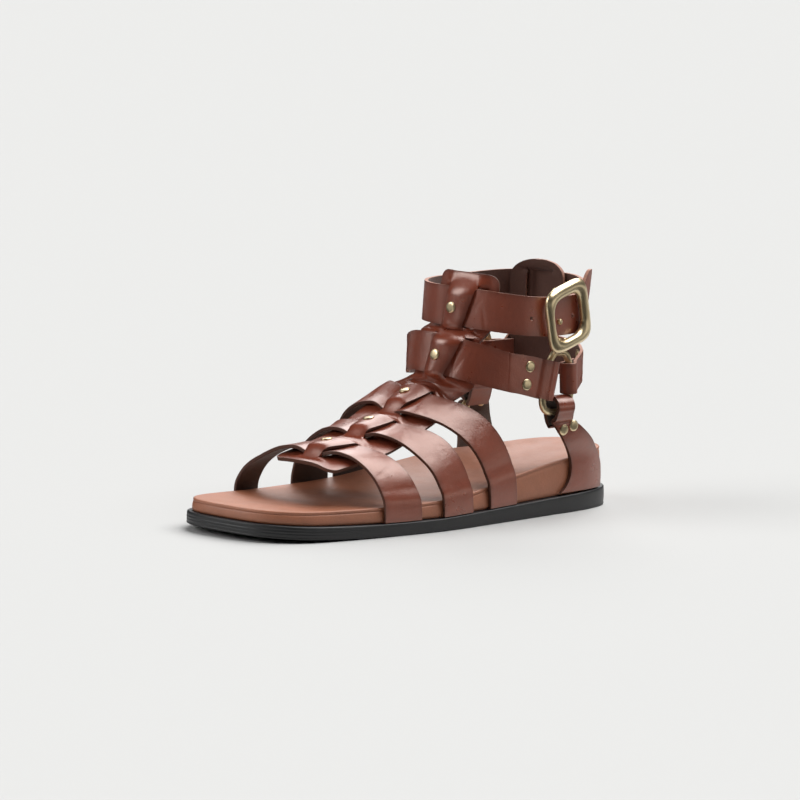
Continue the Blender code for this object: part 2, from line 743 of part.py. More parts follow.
def rivet_pairs(home, look):
    """Two rivets through each folded strap end."""
    for name, ring, edges in (
        ("lateral", RING_LATERAL, HEEL_LATERAL_EDGES),
        ("medial", RING_MEDIAL, HEEL_MEDIAL_EDGES),
    ):
        for end, lines in (("front", lower_ankle_strap()), ("rear", back_strap())):
            points = np.stack((lines[0], (lines[0] + lines[1]) / 2, lines[1]), axis=1)
            step = FOLD_ROWS - 1 if end == "front" else FOLD_ROWS + 2
            row = step if ring is RING_LATERAL else len(points) - 1 - step
            n = normal_at(points, row, 1)
            n = n if n[0] * ring[0] > 0 else -n
            across = (points[row, 0] - points[row, 2]) / STRAP_WIDTH
            for number, shift in ((1, RIVET_SPREAD), (2, -RIVET_SPREAD)):
                seat = points[row, 1] + shift * across + n * (LEATHER / 2 + RIVET_STAND)
                rivet("rivet_%s_%s_%d" % (name, end, number), seat, n, home, look)
        points = heel_strap(ring, edges)
        for number, column in ((1, 1), (2, 3)):
            n = normal_at(points, HEEL_RIVET_ROW, column)
            n = n if n[0] * ring[0] > 0 else -n
            seat = points[HEEL_RIVET_ROW, column] + n * (LEATHER / 2 + RIVET_STAND)
            rivet("rivet_%s_heel_%d" % (name, number), seat, n, home, look)


def stud(name, home, look):
    """Stud of the buckle, standing through a hole of the strap."""
    centre, forward, up, outward = buckle_frame()
    seat = centre + 4.5 * forward + outward * LEATHER / 2
    return rivet(name, seat, outward, home, look)


def build():
    clear_scene()
    home = collection("footbed_sandal")
    helpers = collection("joined_helpers")
    rubber = material("black_rubber", (0.02, 0.02, 0.022), 0.0, 0.55)
    cover = material("tan_leather", (0.33, 0.14, 0.07), 0.0, 0.5)
    leather = material("brown_leather", (0.16, 0.05, 0.03), 0.0, 0.4)
    gold = material("pale_gold", (0.85, 0.68, 0.38), 1.0, 0.2)

    slab(
        "outsole",
        (26, 10),
        (plan(0.0), plan(0.0)),
        (lambda u, v, x, s: float(deck(s)), lambda u, v, x, s: float(lift(s))),
        home,
        rubber,
    )
    slab(
        "footbed",
        (28, 12),
        (plan(LEDGE + RIM_LEAN), plan(LEDGE)),
        (bed_top, lambda u, v, x, s: float(deck(s)) + GAP),
        home,
        cover,
    )

    spine = spine_points()
    upper = sheet("upper", spine, home, leather)
    pieces = [sheet("strap_%d" % (n + 1), forefoot_strap(n), home, leather) for n in range(3)]
    lower = lower_ankle_strap()
    pieces.append(ribbon("strap_4", lower[0], lower[1], home, leather))
    top = upper_ankle_strap()
    pieces.append(ribbon("strap_5", top[0], top[1], home, leather))
    pieces.append(sheet("back_tab", tab_points(), home, leather))
    back = back_strap()
    pieces.append(ribbon("back_strap", back[0], back[1], home, leather))
    join(upper, pieces, helpers)

    for name, ring, edges in (
        ("lateral", RING_LATERAL, HEEL_LATERAL_EDGES),
        ("medial", RING_MEDIAL, HEEL_MEDIAL_EDGES),
    ):
        sheet("heel_strap_" + name, heel_strap(ring, edges), home, leather)
        tube("ring_" + name, ring_path(ring), RING_WIRE, True, home, gold)

    buckle("buckle", home, helpers, gold)

    rivet_pairs(home, gold)
    stud("buckle_stud", home, gold)
    middle = spine.shape[1] // 2
    crossings = (4, 9, 13, 18, 21)
    for number, row in enumerate(crossings):
        n = normal_at(spine, row, middle)
        rivet("rivet_spine_%d" % (number + 1), spine[row, middle] + n * LEATHER / 2, n, home, gold)


build()
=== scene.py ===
"""Looks of the left footbed sandal: leather sheets, footbed, outsole, gold hardware and the stage."""

import math

import bmesh
import bpy
import numpy as np
from bpy.props import FloatProperty, FloatVectorProperty, IntProperty, PointerProperty
from mathutils import Matrix, Vector, kdtree

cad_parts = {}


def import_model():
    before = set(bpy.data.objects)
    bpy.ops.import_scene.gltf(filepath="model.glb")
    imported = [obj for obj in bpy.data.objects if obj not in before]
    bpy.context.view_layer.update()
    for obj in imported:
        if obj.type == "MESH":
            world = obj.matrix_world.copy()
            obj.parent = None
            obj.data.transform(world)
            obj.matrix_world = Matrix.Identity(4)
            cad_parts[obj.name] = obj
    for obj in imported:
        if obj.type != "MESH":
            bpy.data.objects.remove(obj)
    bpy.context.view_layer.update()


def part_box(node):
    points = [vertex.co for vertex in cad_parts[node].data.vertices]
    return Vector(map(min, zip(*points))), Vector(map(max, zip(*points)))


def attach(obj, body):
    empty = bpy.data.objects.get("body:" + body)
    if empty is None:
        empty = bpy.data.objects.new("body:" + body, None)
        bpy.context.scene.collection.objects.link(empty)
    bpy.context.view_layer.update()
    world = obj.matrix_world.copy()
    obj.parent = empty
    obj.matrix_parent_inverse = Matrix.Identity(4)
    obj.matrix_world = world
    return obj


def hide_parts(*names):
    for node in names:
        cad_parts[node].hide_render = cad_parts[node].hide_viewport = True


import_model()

bl_info = {
    "name": "Footbed Sandal",
    "version": (1, 0, 0),
    "blender": (4, 5, 0),
    "location": "View3D > Sidebar > Sandal",
    "description": "Builds the leather, rubber and gold pieces of a left footbed sandal around its frame",
    "category": "Add Mesh",
}

# Sizes are in millimetres and MM turns them into metres
MM = 0.001
BODY = "root"
SOLE_LOW, SOLE_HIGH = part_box("outsole")
UP = np.array((0.0, 0.0, 1.0))

# Sole sizes that the frame was made to
GAP = 0.35
FLAT_END = 168.0
TOE_LIFT = 3.4
HEEL_SOLE = 11.1
TOE_SOLE = 7.0
LEDGE = 2.9
RIM_LEAN = 0.8
FOOT_LENGTH = 262.0

# Plan edge of the outsole, left shoe: across (lateral is positive), along (from the heel)
SOLE_EDGE = (
    (0.0, 0.4),
    (22.6, 6.3),
    (34.0, 27.0),
    (39.3, 65.0),
    (44.1, 105.0),
    (48.2, 145.0),
    (46.9, 180.0),
    (43.8, 211.3),
    (37.9, 237.1),
    (22.3, 254.5),
    (-3.0, 261.8),
    (-27.0, 262.3),
    (-41.6, 250.6),
    (-47.9, 225.0),
    (-46.9, 185.0),
    (-40.3, 145.0),
    (-34.3, 105.0),
    (-33.2, 65.0),
    (-30.8, 27.0),
    (-20.7, 6.2),
)
HEEL_LATERAL, TOE_LATERAL, TOE_MEDIAL, HEEL_MEDIAL = 1, 8, 12, 19

# Footbed above the outsole: along, lateral rim, medial rim, bed
BED = (
    (0.0, 22.5, 22.5, 19.0),
    (25.0, 21.5, 21.5, 15.0),
    (50.0, 19.9, 20.8, 13.5),
    (90.0, 15.4, 20.6, 12.5),
    (125.0, 10.3, 16.3, 10.0),
    (160.0, 8.7, 11.3, 8.2),
    (200.0, 8.0, 8.2, 7.2),
    (262.0, 6.5, 6.5, 6.5),
)

# Foot form under the forefoot straps: along, crest height, ridge across, lateral and medial roundness
LAST = (
    (85.0, 93.6, -0.7, 1.88, 2.9),
    (112.0, 80.6, -0.8, 1.9, 3.4),
    (126.0, 73.9, -1.8, 1.89, 5.9),
    (140.0, 64.3, -1.4, 2.03, 6.5),
    (165.0, 52.3, 2.0, 2.1, 3.6),
    (190.0, 44.8, 4.0, 2.45, 3.0),
    (215.0, 39.2, 5.0, 2.65, 2.9),
)

# Along-foot places of each strap edge: medial base, medial shoulder, lateral shoulder, lateral base
SHOULDERS = (-1.0, -0.45, 0.45, 1.0)
FOREFOOT_STRAPS = (
    ((217.4, 208.6, 201.1, 187.9), (202.1, 190.0, 181.1, 163.6)),
    ((179.8, 174.9, 169.0, 148.2), (157.4, 159.5, 149.7, 126.1)),
    ((153.8, 147.6, 144.3, 112.0), (123.0, 128.3, 123.6, 90.4)),
)

# Forefoot straps at their crossing: forward shift of the front and rear edge, lateral and medial rise
GATHER = ((1.8, 2.2, 0.7, 0.8), (2.6, 1.8, 0.9, 0.5), (0.4, 1.0, 0.8, 0.5))

# Plan loops of the ankle straps: centre across, centre along, turn, half width, half depth, roundness
UPPER_LOOP = (2.5, 65.7, 11.9, 39.3, 45.1, 2.82)
BACK_LOOP = (-0.5, 64.5, 11.9, 39.3, 42.0, 2.5)
LOWER_LOOP = (-1.1, 75.5, 16.6, 39.6, 47.7, 2.42)

# Backward lean of the front of each ankle strap, per millimetre of height
LOWER_LEAN = 0.17
UPPER_LEAN = 0.09

# Height of a strap's middle round its loop: angle from the front towards the lateral side, height
UPPER_RISE = (
    (0.0, 115.9),
    (90.0, 111.3),
    (180.0, 119.4),
    (270.0, 117.6),
    (360.0, 115.9),
    (450.0, 111.3),
    (500.0, 113.0),
)
LOWER_RISE = (
    (-75.0, 84.0),
    (-50.0, 87.8),
    (-25.0, 91.0),
    (0.0, 90.0),
    (25.0, 86.6),
    (50.0, 82.1),
    (75.0, 77.6),
)
BACK_RISE = ((100.0, 78.0), (130.0, 80.0), (170.0, 83.0), (210.0, 85.5), (240.0, 83.0), (262.0, 81.5))

# Spine rows on the foot form: along, medial half, lateral half, skew, centre
SPINE_FOOT = (
    (213.0, 22.5, 24.5, -0.05, 0.0),
    (210.0, 23.2, 25.0, -0.07, 0.0),
    (206.5, 24.2, 25.3, -0.1, 0.0),
    (202.5, 25.2, 25.6, -0.13, 0.0),
    (195.0, 26.0, 26.0, -0.15, 0.0),
    (187.0, 26.0, 26.0, -0.15, 0.0),
    (182.5, 26.0, 26.0, -0.15, 0.3),
    (176.5, 26.0, 26.0, -0.15, 0.5),
    (172.0, 26.0, 26.0, -0.15, 0.6),
    (164.0, 26.0, 26.0, -0.15, 0.7),
    (156.5, 26.0, 26.0, -0.15, 1.2),
    (151.0, 26.0, 26.0, -0.15, 1.8),
    (146.5, 26.0, 26.0, -0.15, 2.3),
    (137.0, 26.0, 26.0, -0.15, 3.0),
    (129.0, 26.0, 25.0, -0.15, 2.6),
    (124.0, 26.0, 23.5, -0.15, 1.6),
)

# Spine rows on an ankle loop: height from the strap's middle, medial half, lateral half
SPINE_LOWER = ((-14.0, 25.5, 19.5), (-10.5, 25.5, 19.0), (0.0, 25.5, 19.0), (10.0, 25.5, 19.5))
SPINE_UPPER = (
    (-11.0, 25.0, 20.0),
    (0.0, 22.0, 21.5),
    (10.5, 18.8, 23.3),
    (14.5, 18.3, 23.4),
    (19.0, 18.0, 23.0),
)

# Slit pairs of a panel: row, then the rear and the front end, each as way to the toe, lateral, medial
SPINE_SLITS = (
    (4, (-8.6, 13.5, -10.5), (12.2, 7.8, -2.8)),
    (9, (-8.8, 11.5, -10.0), (14.0, 7.8, -2.8)),
    (13, (-9.4, 11.8, -9.5), (13.6, 6.2, -4.6)),
    (18, (-10.9, 11.0, -5.2), (10.9, 2.2, -8.6)),
    (21, (-11.0, 10.8, -6.0), (10.9, 3.4, -8.4)),
)

# Creases, each as along, across, slant, half length, half width, height
# On the spine from its fourth rivet, towards the ankle and towards the lateral side
SPINE_CREASES = (
    (15.2, 5.0, 7.0, 9.0, 1.0, -0.17),
    (17.0, -7.0, -14.0, 7.0, 0.9, -0.15),
    (16.6, 14.0, 19.0, 6.0, 0.9, -0.17),
    (18.6, 1.0, 4.0, 8.0, 1.0, -0.14),
    (14.0, -13.0, 24.0, 5.0, 0.9, -0.12),
    (-15.4, -2.0, 9.0, 8.0, 1.1, -0.18),
    (-18.2, 4.0, -13.0, 7.5, 1.0, -0.15),
    (-17.0, -11.0, 22.0, 6.0, 1.0, -0.13),
    (-21.0, 9.0, 16.0, 6.0, 1.0, -0.12),
    (-24.5, -3.0, -8.0, 7.0, 1.1, -0.11),
)
# On the forefoot straps from their crossing, towards the lateral base and towards the rear edge
STRAP_CREASES = (
    (
        (16.0, -2.0, 14.0, 8.0, 2.2, 0.22),
        (30.0, 3.0, -18.0, 7.0, 1.6, -0.20),
        (41.0, -3.0, 10.0, 6.0, 1.5, -0.16),
        (-24.0, 1.0, 12.0, 8.0, 2.0, -0.24),
        (-38.0, -2.0, -15.0, 7.0, 1.6, -0.20),
    ),
    (
        (17.0, 1.0, -12.0, 9.0, 2.2, 0.24),
        (27.0, -4.0, 22.0, 6.0, 1.4, -0.20),
        (46.0, 4.0, 60.0, 7.0, 0.7, -0.16),
        (49.0, 3.0, 68.0, 6.0, 0.6, -0.14),
        (-26.0, 0.0, 10.0, 8.0, 2.0, -0.24),
    ),
    (
        (16.0, 0.0, 10.0, 9.0, 2.3, 0.24),
        (33.0, 4.0, -20.0, 8.0, 1.6, -0.20),
        (52.0, -3.0, 18.0, 7.0, 1.5, -0.18),
        (-25.0, 2.0, -12.0, 9.0, 2.0, -0.24),
    ),
)
# On the ankle straps from the middle of the front, towards the medial side and downwards
LOWER_CREASES = (
    (-15.0, 0.0, 8.0, 9.0, 1.8, 0.24),
    (-27.0, 2.0, -24.0, 7.0, 1.2, -0.22),
    (-32.0, -3.0, -14.0, 6.0, 1.1, -0.20),
    (-38.0, 3.0, 18.0, 7.0, 1.3, -0.20),
    (15.0, 0.0, -10.0, 9.0, 1.8, 0.22),
    (27.0, 1.0, 14.0, 8.0, 1.5, -0.22),
)
UPPER_CREASES = (
    (16.0, 0.0, 9.0, 9.0, 1.8, 0.22),
    (29.0, -3.0, 26.0, 6.0, 1.2, -0.20),
    (33.0, 4.0, -16.0, 6.0, 1.2, -0.18),
    (-15.0, 0.0, -8.0, 9.0, 1.8, 0.22),
    (-28.0, 2.0, 16.0, 8.0, 1.5, -0.20),
)

# Grid of a slit panel: columns of each wing and of the band, half width of a slit, reach of a wing's rise
WING_COLUMNS = 9
BAND_COLUMNS = 15
SLIT_LIP = 0.12
WING_FADE = 8.0

# Rise of a band over its strap: ways before and past the rear slit ends, before and past the front ones
FOREFOOT_BAND = (3.0, 2.2, 5.0, 3.8)
ANKLE_BAND = (7.8, 4.48, 1.2, 5.0)
ANKLE_SWELL = 1.7

# Rounded panel ends: medial and lateral corner width, corner length
TAIL_CORNERS = (5.0, 7.0, 4.5)
TOP_CORNERS = (5.5, 6.0, 5.0)
TAB_CORNERS = (15.5, 15.5, 9.5)
PLAIN_CORNERS = (0.1, 0.1, 0.1)

# Back tab rows: height, half width
TAB_ANGLE = 188.0
TAB = (
    (74.0, 14.0),
    (84.0, 15.0),
    (94.0, 16.0),
    (103.0, 18.0),
    (107.5, 18.3),
    (118.5, 18.3),
    (127.0, 18.2),
    (132.0, 18.0),
    (136.7, 17.8),
)
TAB_SLITS = ((5, (-11.5, 8.0, -10.0), (11.5, 8.0, -10.0)),)

# Rings: across, along, height of the centre, and the turn of the ring's plane in degrees
RING_LATERAL = (38.0, 59.5, 74.0, 3.0)
RING_MEDIAL = (-33.5, 55.0, 79.5, 4.0)
RING_HALF_WIDTH = 10.0
RING_HALF_HEIGHT = 16.5
RING_ROUNDNESS = 3.2
RING_LEAN_FRONT = 13.0
RING_LEAN_REAR = 3.5
REAR_TURN = 28.0
FOLD_SET = 1.1
FOLD_SET_LOW = 0.77
FOLD_RAISE = 1.7
FOLD_RAISE_REAR = 1.9
# Folds at the rings: radius, reach of the outer leg, reach of the end inside
LOWER_FOLD = (4.6, 17.0, 21.0)
BACK_FOLD = (3.9, 10.5, 15.0)
BACK_FOLD_HALF = 8.6
# Fold of a heel strap: half width, way behind the ring's middle, radius, rise, widening below
HEEL_FOLD_LATERAL = (6.2, 1.8, 5.6, 2.0, 3.6)
HEEL_FOLD_MEDIAL = (8.2, -0.8, 4.8, 0.5, 1.5)

# Edges of a heel strap from the ring to the outsole: front along, rear along, height
HEEL_LATERAL_EDGES = (
    (60.5, 41.5, 48.5),
    (53.8, 31.0, 41.0),
    (47.6, 21.8, 33.0),
    (45.2, 17.0, 26.0),
    (46.2, 15.6, 19.5),
    (49.5, 15.6, 14.5),
    (53.5, 16.0, 11.45),
)
HEEL_MEDIAL_EDGES = (
    (67.5, 45.0, 54.5),
    (68.0, 44.0, 47.0),
    (68.5, 43.5, 38.0),
    (69.5, 43.0, 30.0),
    (71.0, 42.0, 22.5),
    (74.0, 39.0, 16.5),
    (79.0, 34.0, 11.45),
)

# Punched holes of the upper ankle strap: way ahead of the buckle's middle
HOLES = (25.2, 14.8, -8.6)

# Buckle
BUCKLE_ANGLE = 89.0
BUCKLE_ROLL = 14.0
BUCKLE_AHEAD = 1.0
BUCKLE_SET = 4.0
CHAPE_BAR = 1.4
CHAPE_SET = 5.4


class SandalSizes(bpy.types.PropertyGroup):
    """Sizes of the leather and the hardware, in millimetres."""

    leather: FloatProperty(name="Leather", description="Thickness of the straps", default=2.0)
    layer: FloatProperty(name="Layer", description="Height between woven layers", default=2.15)
    tilt: FloatProperty(name="Tilt", description="Rise of a front edge at its crossing", default=1.3)
    strap_width: FloatProperty(name="Strap width", description="Width of an ankle strap", default=21.5)
    edge_round: FloatProperty(name="Edge round", description="Rounding of a cut edge", default=0.45)
    dome: FloatProperty(name="Dome", description="Swell of a band over its strap", default=1.3)
    weave: FloatProperty(name="Weave", description="Rise of a strap beside its slits", default=1.7)
    dip: FloatProperty(name="Dip", description="Fall of a strap as it goes under its band", default=0.5)
    bulge: FloatProperty(name="Bulge", description="Rise of a strap under a band's middle", default=1.5)
    set_back: FloatProperty(name="Set back", description="Depth of the spine at the ankle", default=1.7)
    rivet_radius: FloatProperty(name="Rivet", description="Radius of a rivet head", default=3.1)
    hole_radius: FloatProperty(name="Hole", description="Radius of a punched strap hole", default=1.1)
    ring_wire: FloatProperty(name="Ring wire", description="Radius of a ring's wire", default=2.0)
    buckle_length: FloatProperty(name="Buckle length", description="Half length to mid bar", default=16.0)
    buckle_height: FloatProperty(name="Buckle height", description="Half height to mid bar", default=15.0)


class SandalFinish(bpy.types.PropertyGroup):
    """Colours of the finishes."""

    leather: FloatVectorProperty(
        name="Leather", description="Grain side of the straps", subtype="COLOR", size=3,
        default=(0.225, 0.044, 0.0195),
    )
    flesh: FloatVectorProperty(
        name="Flesh side", description="Inner side of the ankle straps", subtype="COLOR", size=3,
        default=(0.120, 0.050, 0.034),
    )
    raw: FloatVectorProperty(
        name="Raw side", description="Inner side of the forefoot straps", subtype="COLOR", size=3,
        default=(0.105, 0.070, 0.052),
    )
    edge: FloatVectorProperty(
        name="Cut edge", description="Cut edges of the straps", subtype="COLOR", size=3,
        default=(0.085, 0.030, 0.016),
    )
    # Partly the cut edge's own colour, partly a painted highlight: pale pink for the back light's bright
    # line along the top edges
    ankle_edge_and_highlight: FloatVectorProperty(
        name="Ankle edge", description="Cut edges of the ankle straps", subtype="COLOR", size=3,
        default=(0.42, 0.20, 0.14),
    )
    cover: FloatVectorProperty(
        name="Footbed", description="Leather on the footbed", subtype="COLOR", size=3,
        default=(0.335, 0.105, 0.043),
    )
    rubber: FloatVectorProperty(
        name="Rubber", description="Outsole", subtype="COLOR", size=3, default=(0.013, 0.013, 0.014),
    )
    gold: FloatVectorProperty(
        name="Gold", description="Rings, buckle and rivets", subtype="COLOR", size=3,
        default=(0.93, 0.77, 0.50),
    )


class StageSettings(bpy.types.PropertyGroup):
    """Floor, light and camera."""

    key: FloatProperty(name="Key", description="Strength of the light from behind", default=1.1)
    over: FloatProperty(name="Over", description="Strength of the broad light overhead", default=3.9)
    fill: FloatProperty(name="Fill", description="Strength of the light from the front", default=1.4)
    sky: FloatProperty(name="Sky", description="Strength of the low sky", default=0.45)
    top: FloatProperty(name="Top", description="Share of the sky's light from the top", default=0.12)
    front: FloatProperty(name="Front", description="Share of the sky on the lateral side", default=0.08)
    floor: FloatProperty(
        name="Floor", description="Paleness of the floor", subtype="FACTOR", default=0.545,
    )
    lens: FloatProperty(name="Lens", description="Focal length in millimetres", default=148.3)
    detail: IntProperty(name="Detail", description="Steps between two table rows", default=6)


def sizes():
    return bpy.context.scene.sandal_sizes


def finish_colours():
    return bpy.context.scene.sandal_finish


def stage_settings():
    return bpy.context.scene.sandal_stage


def through(table, column, x):
    """Smooth curve through one column of a table, read at x."""
    xs = np.array([row[0] for row in table])
    ys = np.array([row[column] for row in table])
    slopes = np.gradient(ys, xs)
    x = np.clip(np.asarray(x, float), xs[0], xs[-1])
    i = np.clip(np.searchsorted(xs, x) - 1, 0, len(xs) - 2)
    h = xs[i + 1] - xs[i]
    t = (x - xs[i]) / h
    rise = (2 * t**3 - 3 * t**2 + 1) * ys[i] + (3 * t**2 - 2 * t**3) * ys[i + 1]
    return rise + h * ((t**3 - 2 * t**2 + t) * slopes[i] + (t**3 - t**2) * slopes[i + 1])


def ease(a, b, x):
    """Rises smoothly from 0 at a to 1 at b."""
    t = np.clip((x - a) / (b - a), 0.0, 1.0)
    return t * t * (3 - 2 * t)


def edge_point(k):
    """Point of the outsole's plan edge at a place k between its table rows."""
    n = len(SOLE_EDGE)
    p = [np.array(SOLE_EDGE[(int(math.floor(k)) + i) % n]) for i in (-1, 0, 1, 2)]
    t = k - math.floor(k)
    bend = 2 * p[0] - 5 * p[1] + 4 * p[2] - p[3]
    turn = 3 * p[1] - p[0] - 3 * p[2] + p[3]
    return 0.5 * (2 * p[1] + (p[2] - p[0]) * t + bend * t**2 + turn * t**3)


def inset_point(k, inset):
    """The same point moved inwards by an inset."""
    along = edge_point(k + 0.05) - edge_point(k - 0.05)
    along /= np.linalg.norm(along)
    return edge_point(k) - inset * np.array((along[1], -along[0]))


def run_length(line):
    """Length along a line of points, from its first point to each point."""
    steps = np.linalg.norm(np.diff(line, axis=0), axis=1)
    return np.concatenate(([0.0], np.cumsum(steps)))


def side(first, last, inset):
    """One side of the plan as a function of the share of its length."""
    points = np.array([inset_point(k, inset) for k in np.linspace(first, last, 160)])
    length = run_length(points)
    share = length / length[-1]
    return lambda f: np.array((np.interp(f, share, points[:, 0]), np.interp(f, share, points[:, 1])))


def plan(inset):
    """Patch from (heel to toe, medial to lateral) to a place on the sole, inside the inset edge."""
    n = len(SOLE_EDGE)
    heel = side(HEEL_MEDIAL, n + HEEL_LATERAL, inset)
    toe = side(TOE_MEDIAL, TOE_LATERAL, inset)
    lateral = side(HEEL_LATERAL, TOE_LATERAL, inset)
    medial = side(HEEL_MEDIAL, TOE_MEDIAL, inset)

    def place_in(u, v):
        ends = (1 - u) * heel(v) + u * toe(v)
        sides = (1 - v) * medial(u) + v * lateral(u)
        corners = (1 - u) * ((1 - v) * heel(0) + v * heel(1)) + u * ((1 - v) * toe(0) + v * toe(1))
        return ends + sides - corners

    return place_in


EDGE = np.array([edge_point(k) for k in np.linspace(0, len(SOLE_EDGE), 400)])
CENTRE = (EDGE.min(0) + EDGE.max(0)) / 2
ORIGIN = ((SOLE_LOW + SOLE_HIGH) / 2).to_2d() / MM
WALL = np.array([inset_point(k, LEDGE) for k in np.linspace(0, len(SOLE_EDGE), 400)])


def wall(s, lateral):
    """Middle of the leather where it runs down outside the footbed."""
    points = WALL[WALL[:, 0] > 0] if lateral else WALL[WALL[:, 0] <= 0]
    points = points[np.argsort(points[:, 1])]
    reach = sizes().leather / 2 + GAP
    return np.interp(s, points[:, 1], points[:, 0]) + (reach if lateral else -reach)


def lift(s):
    """Toe spring."""
    return TOE_LIFT * np.clip((np.asarray(s, float) - FLAT_END) / (FOOT_LENGTH - FLAT_END), 0, 1.2) ** 2


def deck(s):
    """Top of the outsole."""
    return lift(s) + HEEL_SOLE + (TOE_SOLE - HEEL_SOLE) * np.clip(np.asarray(s, float) / 150.0, 0, 1)


def rim(s, lateral):
    """Top of the footbed's rim."""
    return deck(s) + GAP + through(BED, 1 if lateral else 2, s)


def bed_top(u, v, s):
    """Top of the footbed: rims at the edge, dished bed between them."""
    reach = (abs(2 * u - 1) ** 5 + abs(2 * v - 1) ** 5) ** 0.2
    lateral = ease(0.15, 0.85, v)
    edge = lateral * through(BED, 1, s) + (1 - lateral) * through(BED, 2, s)
    bed = through(BED, 3, s)
    return float(deck(s) + GAP + bed + (edge - bed) * min(reach, 1.0) ** 2.4)


def foot(s, t, offset):
    """Point of the foot form at station s, t from the medial base to the lateral base."""
    lateral = t > 0
    c = min(abs(t), 1.0)
    power = through(LAST, 3 if lateral else 4, s)
    ridge = through(LAST, 2, s)
    base = deck(s) + GAP
    outer = wall(s, lateral) + (offset if lateral else -offset)
    x = ridge + (outer - ridge) * c
    z = base + (through(LAST, 1, s) + offset - base) * max(1 - c**power, 0.0) ** (1 / power)
    clear = ease(-1.0, 9.0, z - rim(s, lateral))
    return np.array((outer + (x - outer) * clear, s, z))


def squared_turn(q, power):
    """Cosine and sine of an angle, bent from a circle towards a square."""
    return [math.copysign(abs(v) ** (2 / power), v) for v in (math.cos(q), math.sin(q))]


def loop(ring, angle, offset, z):
    """Point of an ankle loop at an angle from the front towards the lateral side."""
    across, along, turn, width, depth, power = ring
    turn = math.radians(turn)
    ahead, aside = squared_turn(math.radians(angle), power)
    p = (width + offset) * aside
    q = (depth + offset) * ahead
    x = across + p * math.cos(turn) + q * math.sin(turn)
    s = along - p * math.sin(turn) + q * math.cos(turn)
    return np.array((x, s, z))


def by_length(point, places, centre):
    """Turns a length w from the centre place into a place, along the line that point draws."""
    length = run_length(np.array([point(q) for q in places]))
    length -= np.interp(centre, places, length)
    return lambda w: np.interp(w, length, places)


def smooth_line(points, per_step):
    """Curve through points of any width, with per_step steps between each pair."""
    p = np.array(points, float)
    p = np.concatenate(([2 * p[0] - p[1]], p, [2 * p[-1] - p[-2]]))
    out = []
    for i in range(1, len(p) - 2):
        for k in range(per_step):
            t = k / per_step
            bend = 2 * p[i - 1] - 5 * p[i] + 4 * p[i + 1] - p[i + 2]
            turn = 3 * p[i] - p[i - 1] - 3 * p[i + 1] + p[i + 2]
            out.append(0.5 * (2 * p[i] + (p[i + 1] - p[i - 1]) * t + bend * t**2 + turn * t**3))
    out.append(p[-2])
    return np.array(out)


def world(point):
    """Place in metres in the frame, from millimetres across, along and up."""
    return Vector((
        (ORIGIN.x + point[0] - CENTRE[0]) * MM,
        (ORIGIN.y + CENTRE[1] - point[1]) * MM,
        point[2] * MM,
    ))


def grid_normals(points):
    """Unit normals of a grid of points."""
    n = np.cross(np.gradient(points, axis=0), np.gradient(points, axis=1))
    return n / np.maximum(np.linalg.norm(n, axis=2, keepdims=True), 1e-9)


def crease(points, origin, outward, marks):
    """Soft troughs and ridges, placed from a grid point.

    Each mark holds: along the rows, across them, slant, half length, half width, height in millimetres.
    """
    i, j = origin
    normals = grid_normals(points)
    if np.dot(normals[i, j], outward) < 0:
        normals = -normals
    along = np.linalg.norm(np.gradient(points, axis=0), axis=2)
    a = np.cumsum(along, axis=0)
    across = np.linalg.norm(np.gradient(points, axis=1), axis=2)
    b = np.cumsum(across, axis=1)
    da = a - a[i, j]
    db = b - b[:, j:j + 1]
    shift = np.zeros(points.shape[:2])
    for row, column, slant, length, width, height in marks:
        c, s = math.cos(math.radians(slant)), math.sin(math.radians(slant))
        d = (c * (da - row) + s * (db - column)) / width
        e = (-s * (da - row) + c * (db - column)) / length
        shift += height * (1 - 0.6 * d**2) * np.exp(-(d**2)) * np.exp(-(e**4))
    return points + normals * shift[:, :, None]


def ride_in(obj, node, looks):
    """Gives a piece its looks and the body and node that it stands for."""
    obj.data.materials.clear()
    for look in looks:
        obj.data.materials.append(look)
    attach(obj, BODY)
    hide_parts(*([node] if isinstance(node, str) else node))
    return obj


def mesh_object(name, bm):
    mesh = bpy.data.meshes.new(name)
    bm.to_mesh(mesh)
    bm.free()
    mesh.shade_smooth()
    obj = bpy.data.objects.new(name, mesh)
    bpy.context.scene.collection.objects.link(obj)
    return obj


def join_rings(bm, rings, cyclic=False):
    """Joins closed rings of points with quads, and the last ring to the first when cyclic."""
    faces = []
    for low, high in zip(rings, rings[1:] + rings[:1] if cyclic else rings[1:]):
        for k in range(len(low)):
            n = (k + 1) % len(low)
            faces.append(bm.faces.new((low[k], low[n], high[n], high[k])))
    return faces


def mark_rim(bm):
    """Stores how near each point is to a cut edge, from 1 at the edge to 0 further in."""
    layer = bm.verts.layers.float.new("rim")
    edge = [v for v in bm.verts if v.is_boundary]
    tree = kdtree.KDTree(len(edge))
    for k, v in enumerate(edge):
        tree.insert(v.co, k)
    tree.balance()
    reach = 3.0 * MM
    for v in bm.verts:
        v[layer] = max(0.0, 1.0 - tree.find(v.co)[2] / reach)


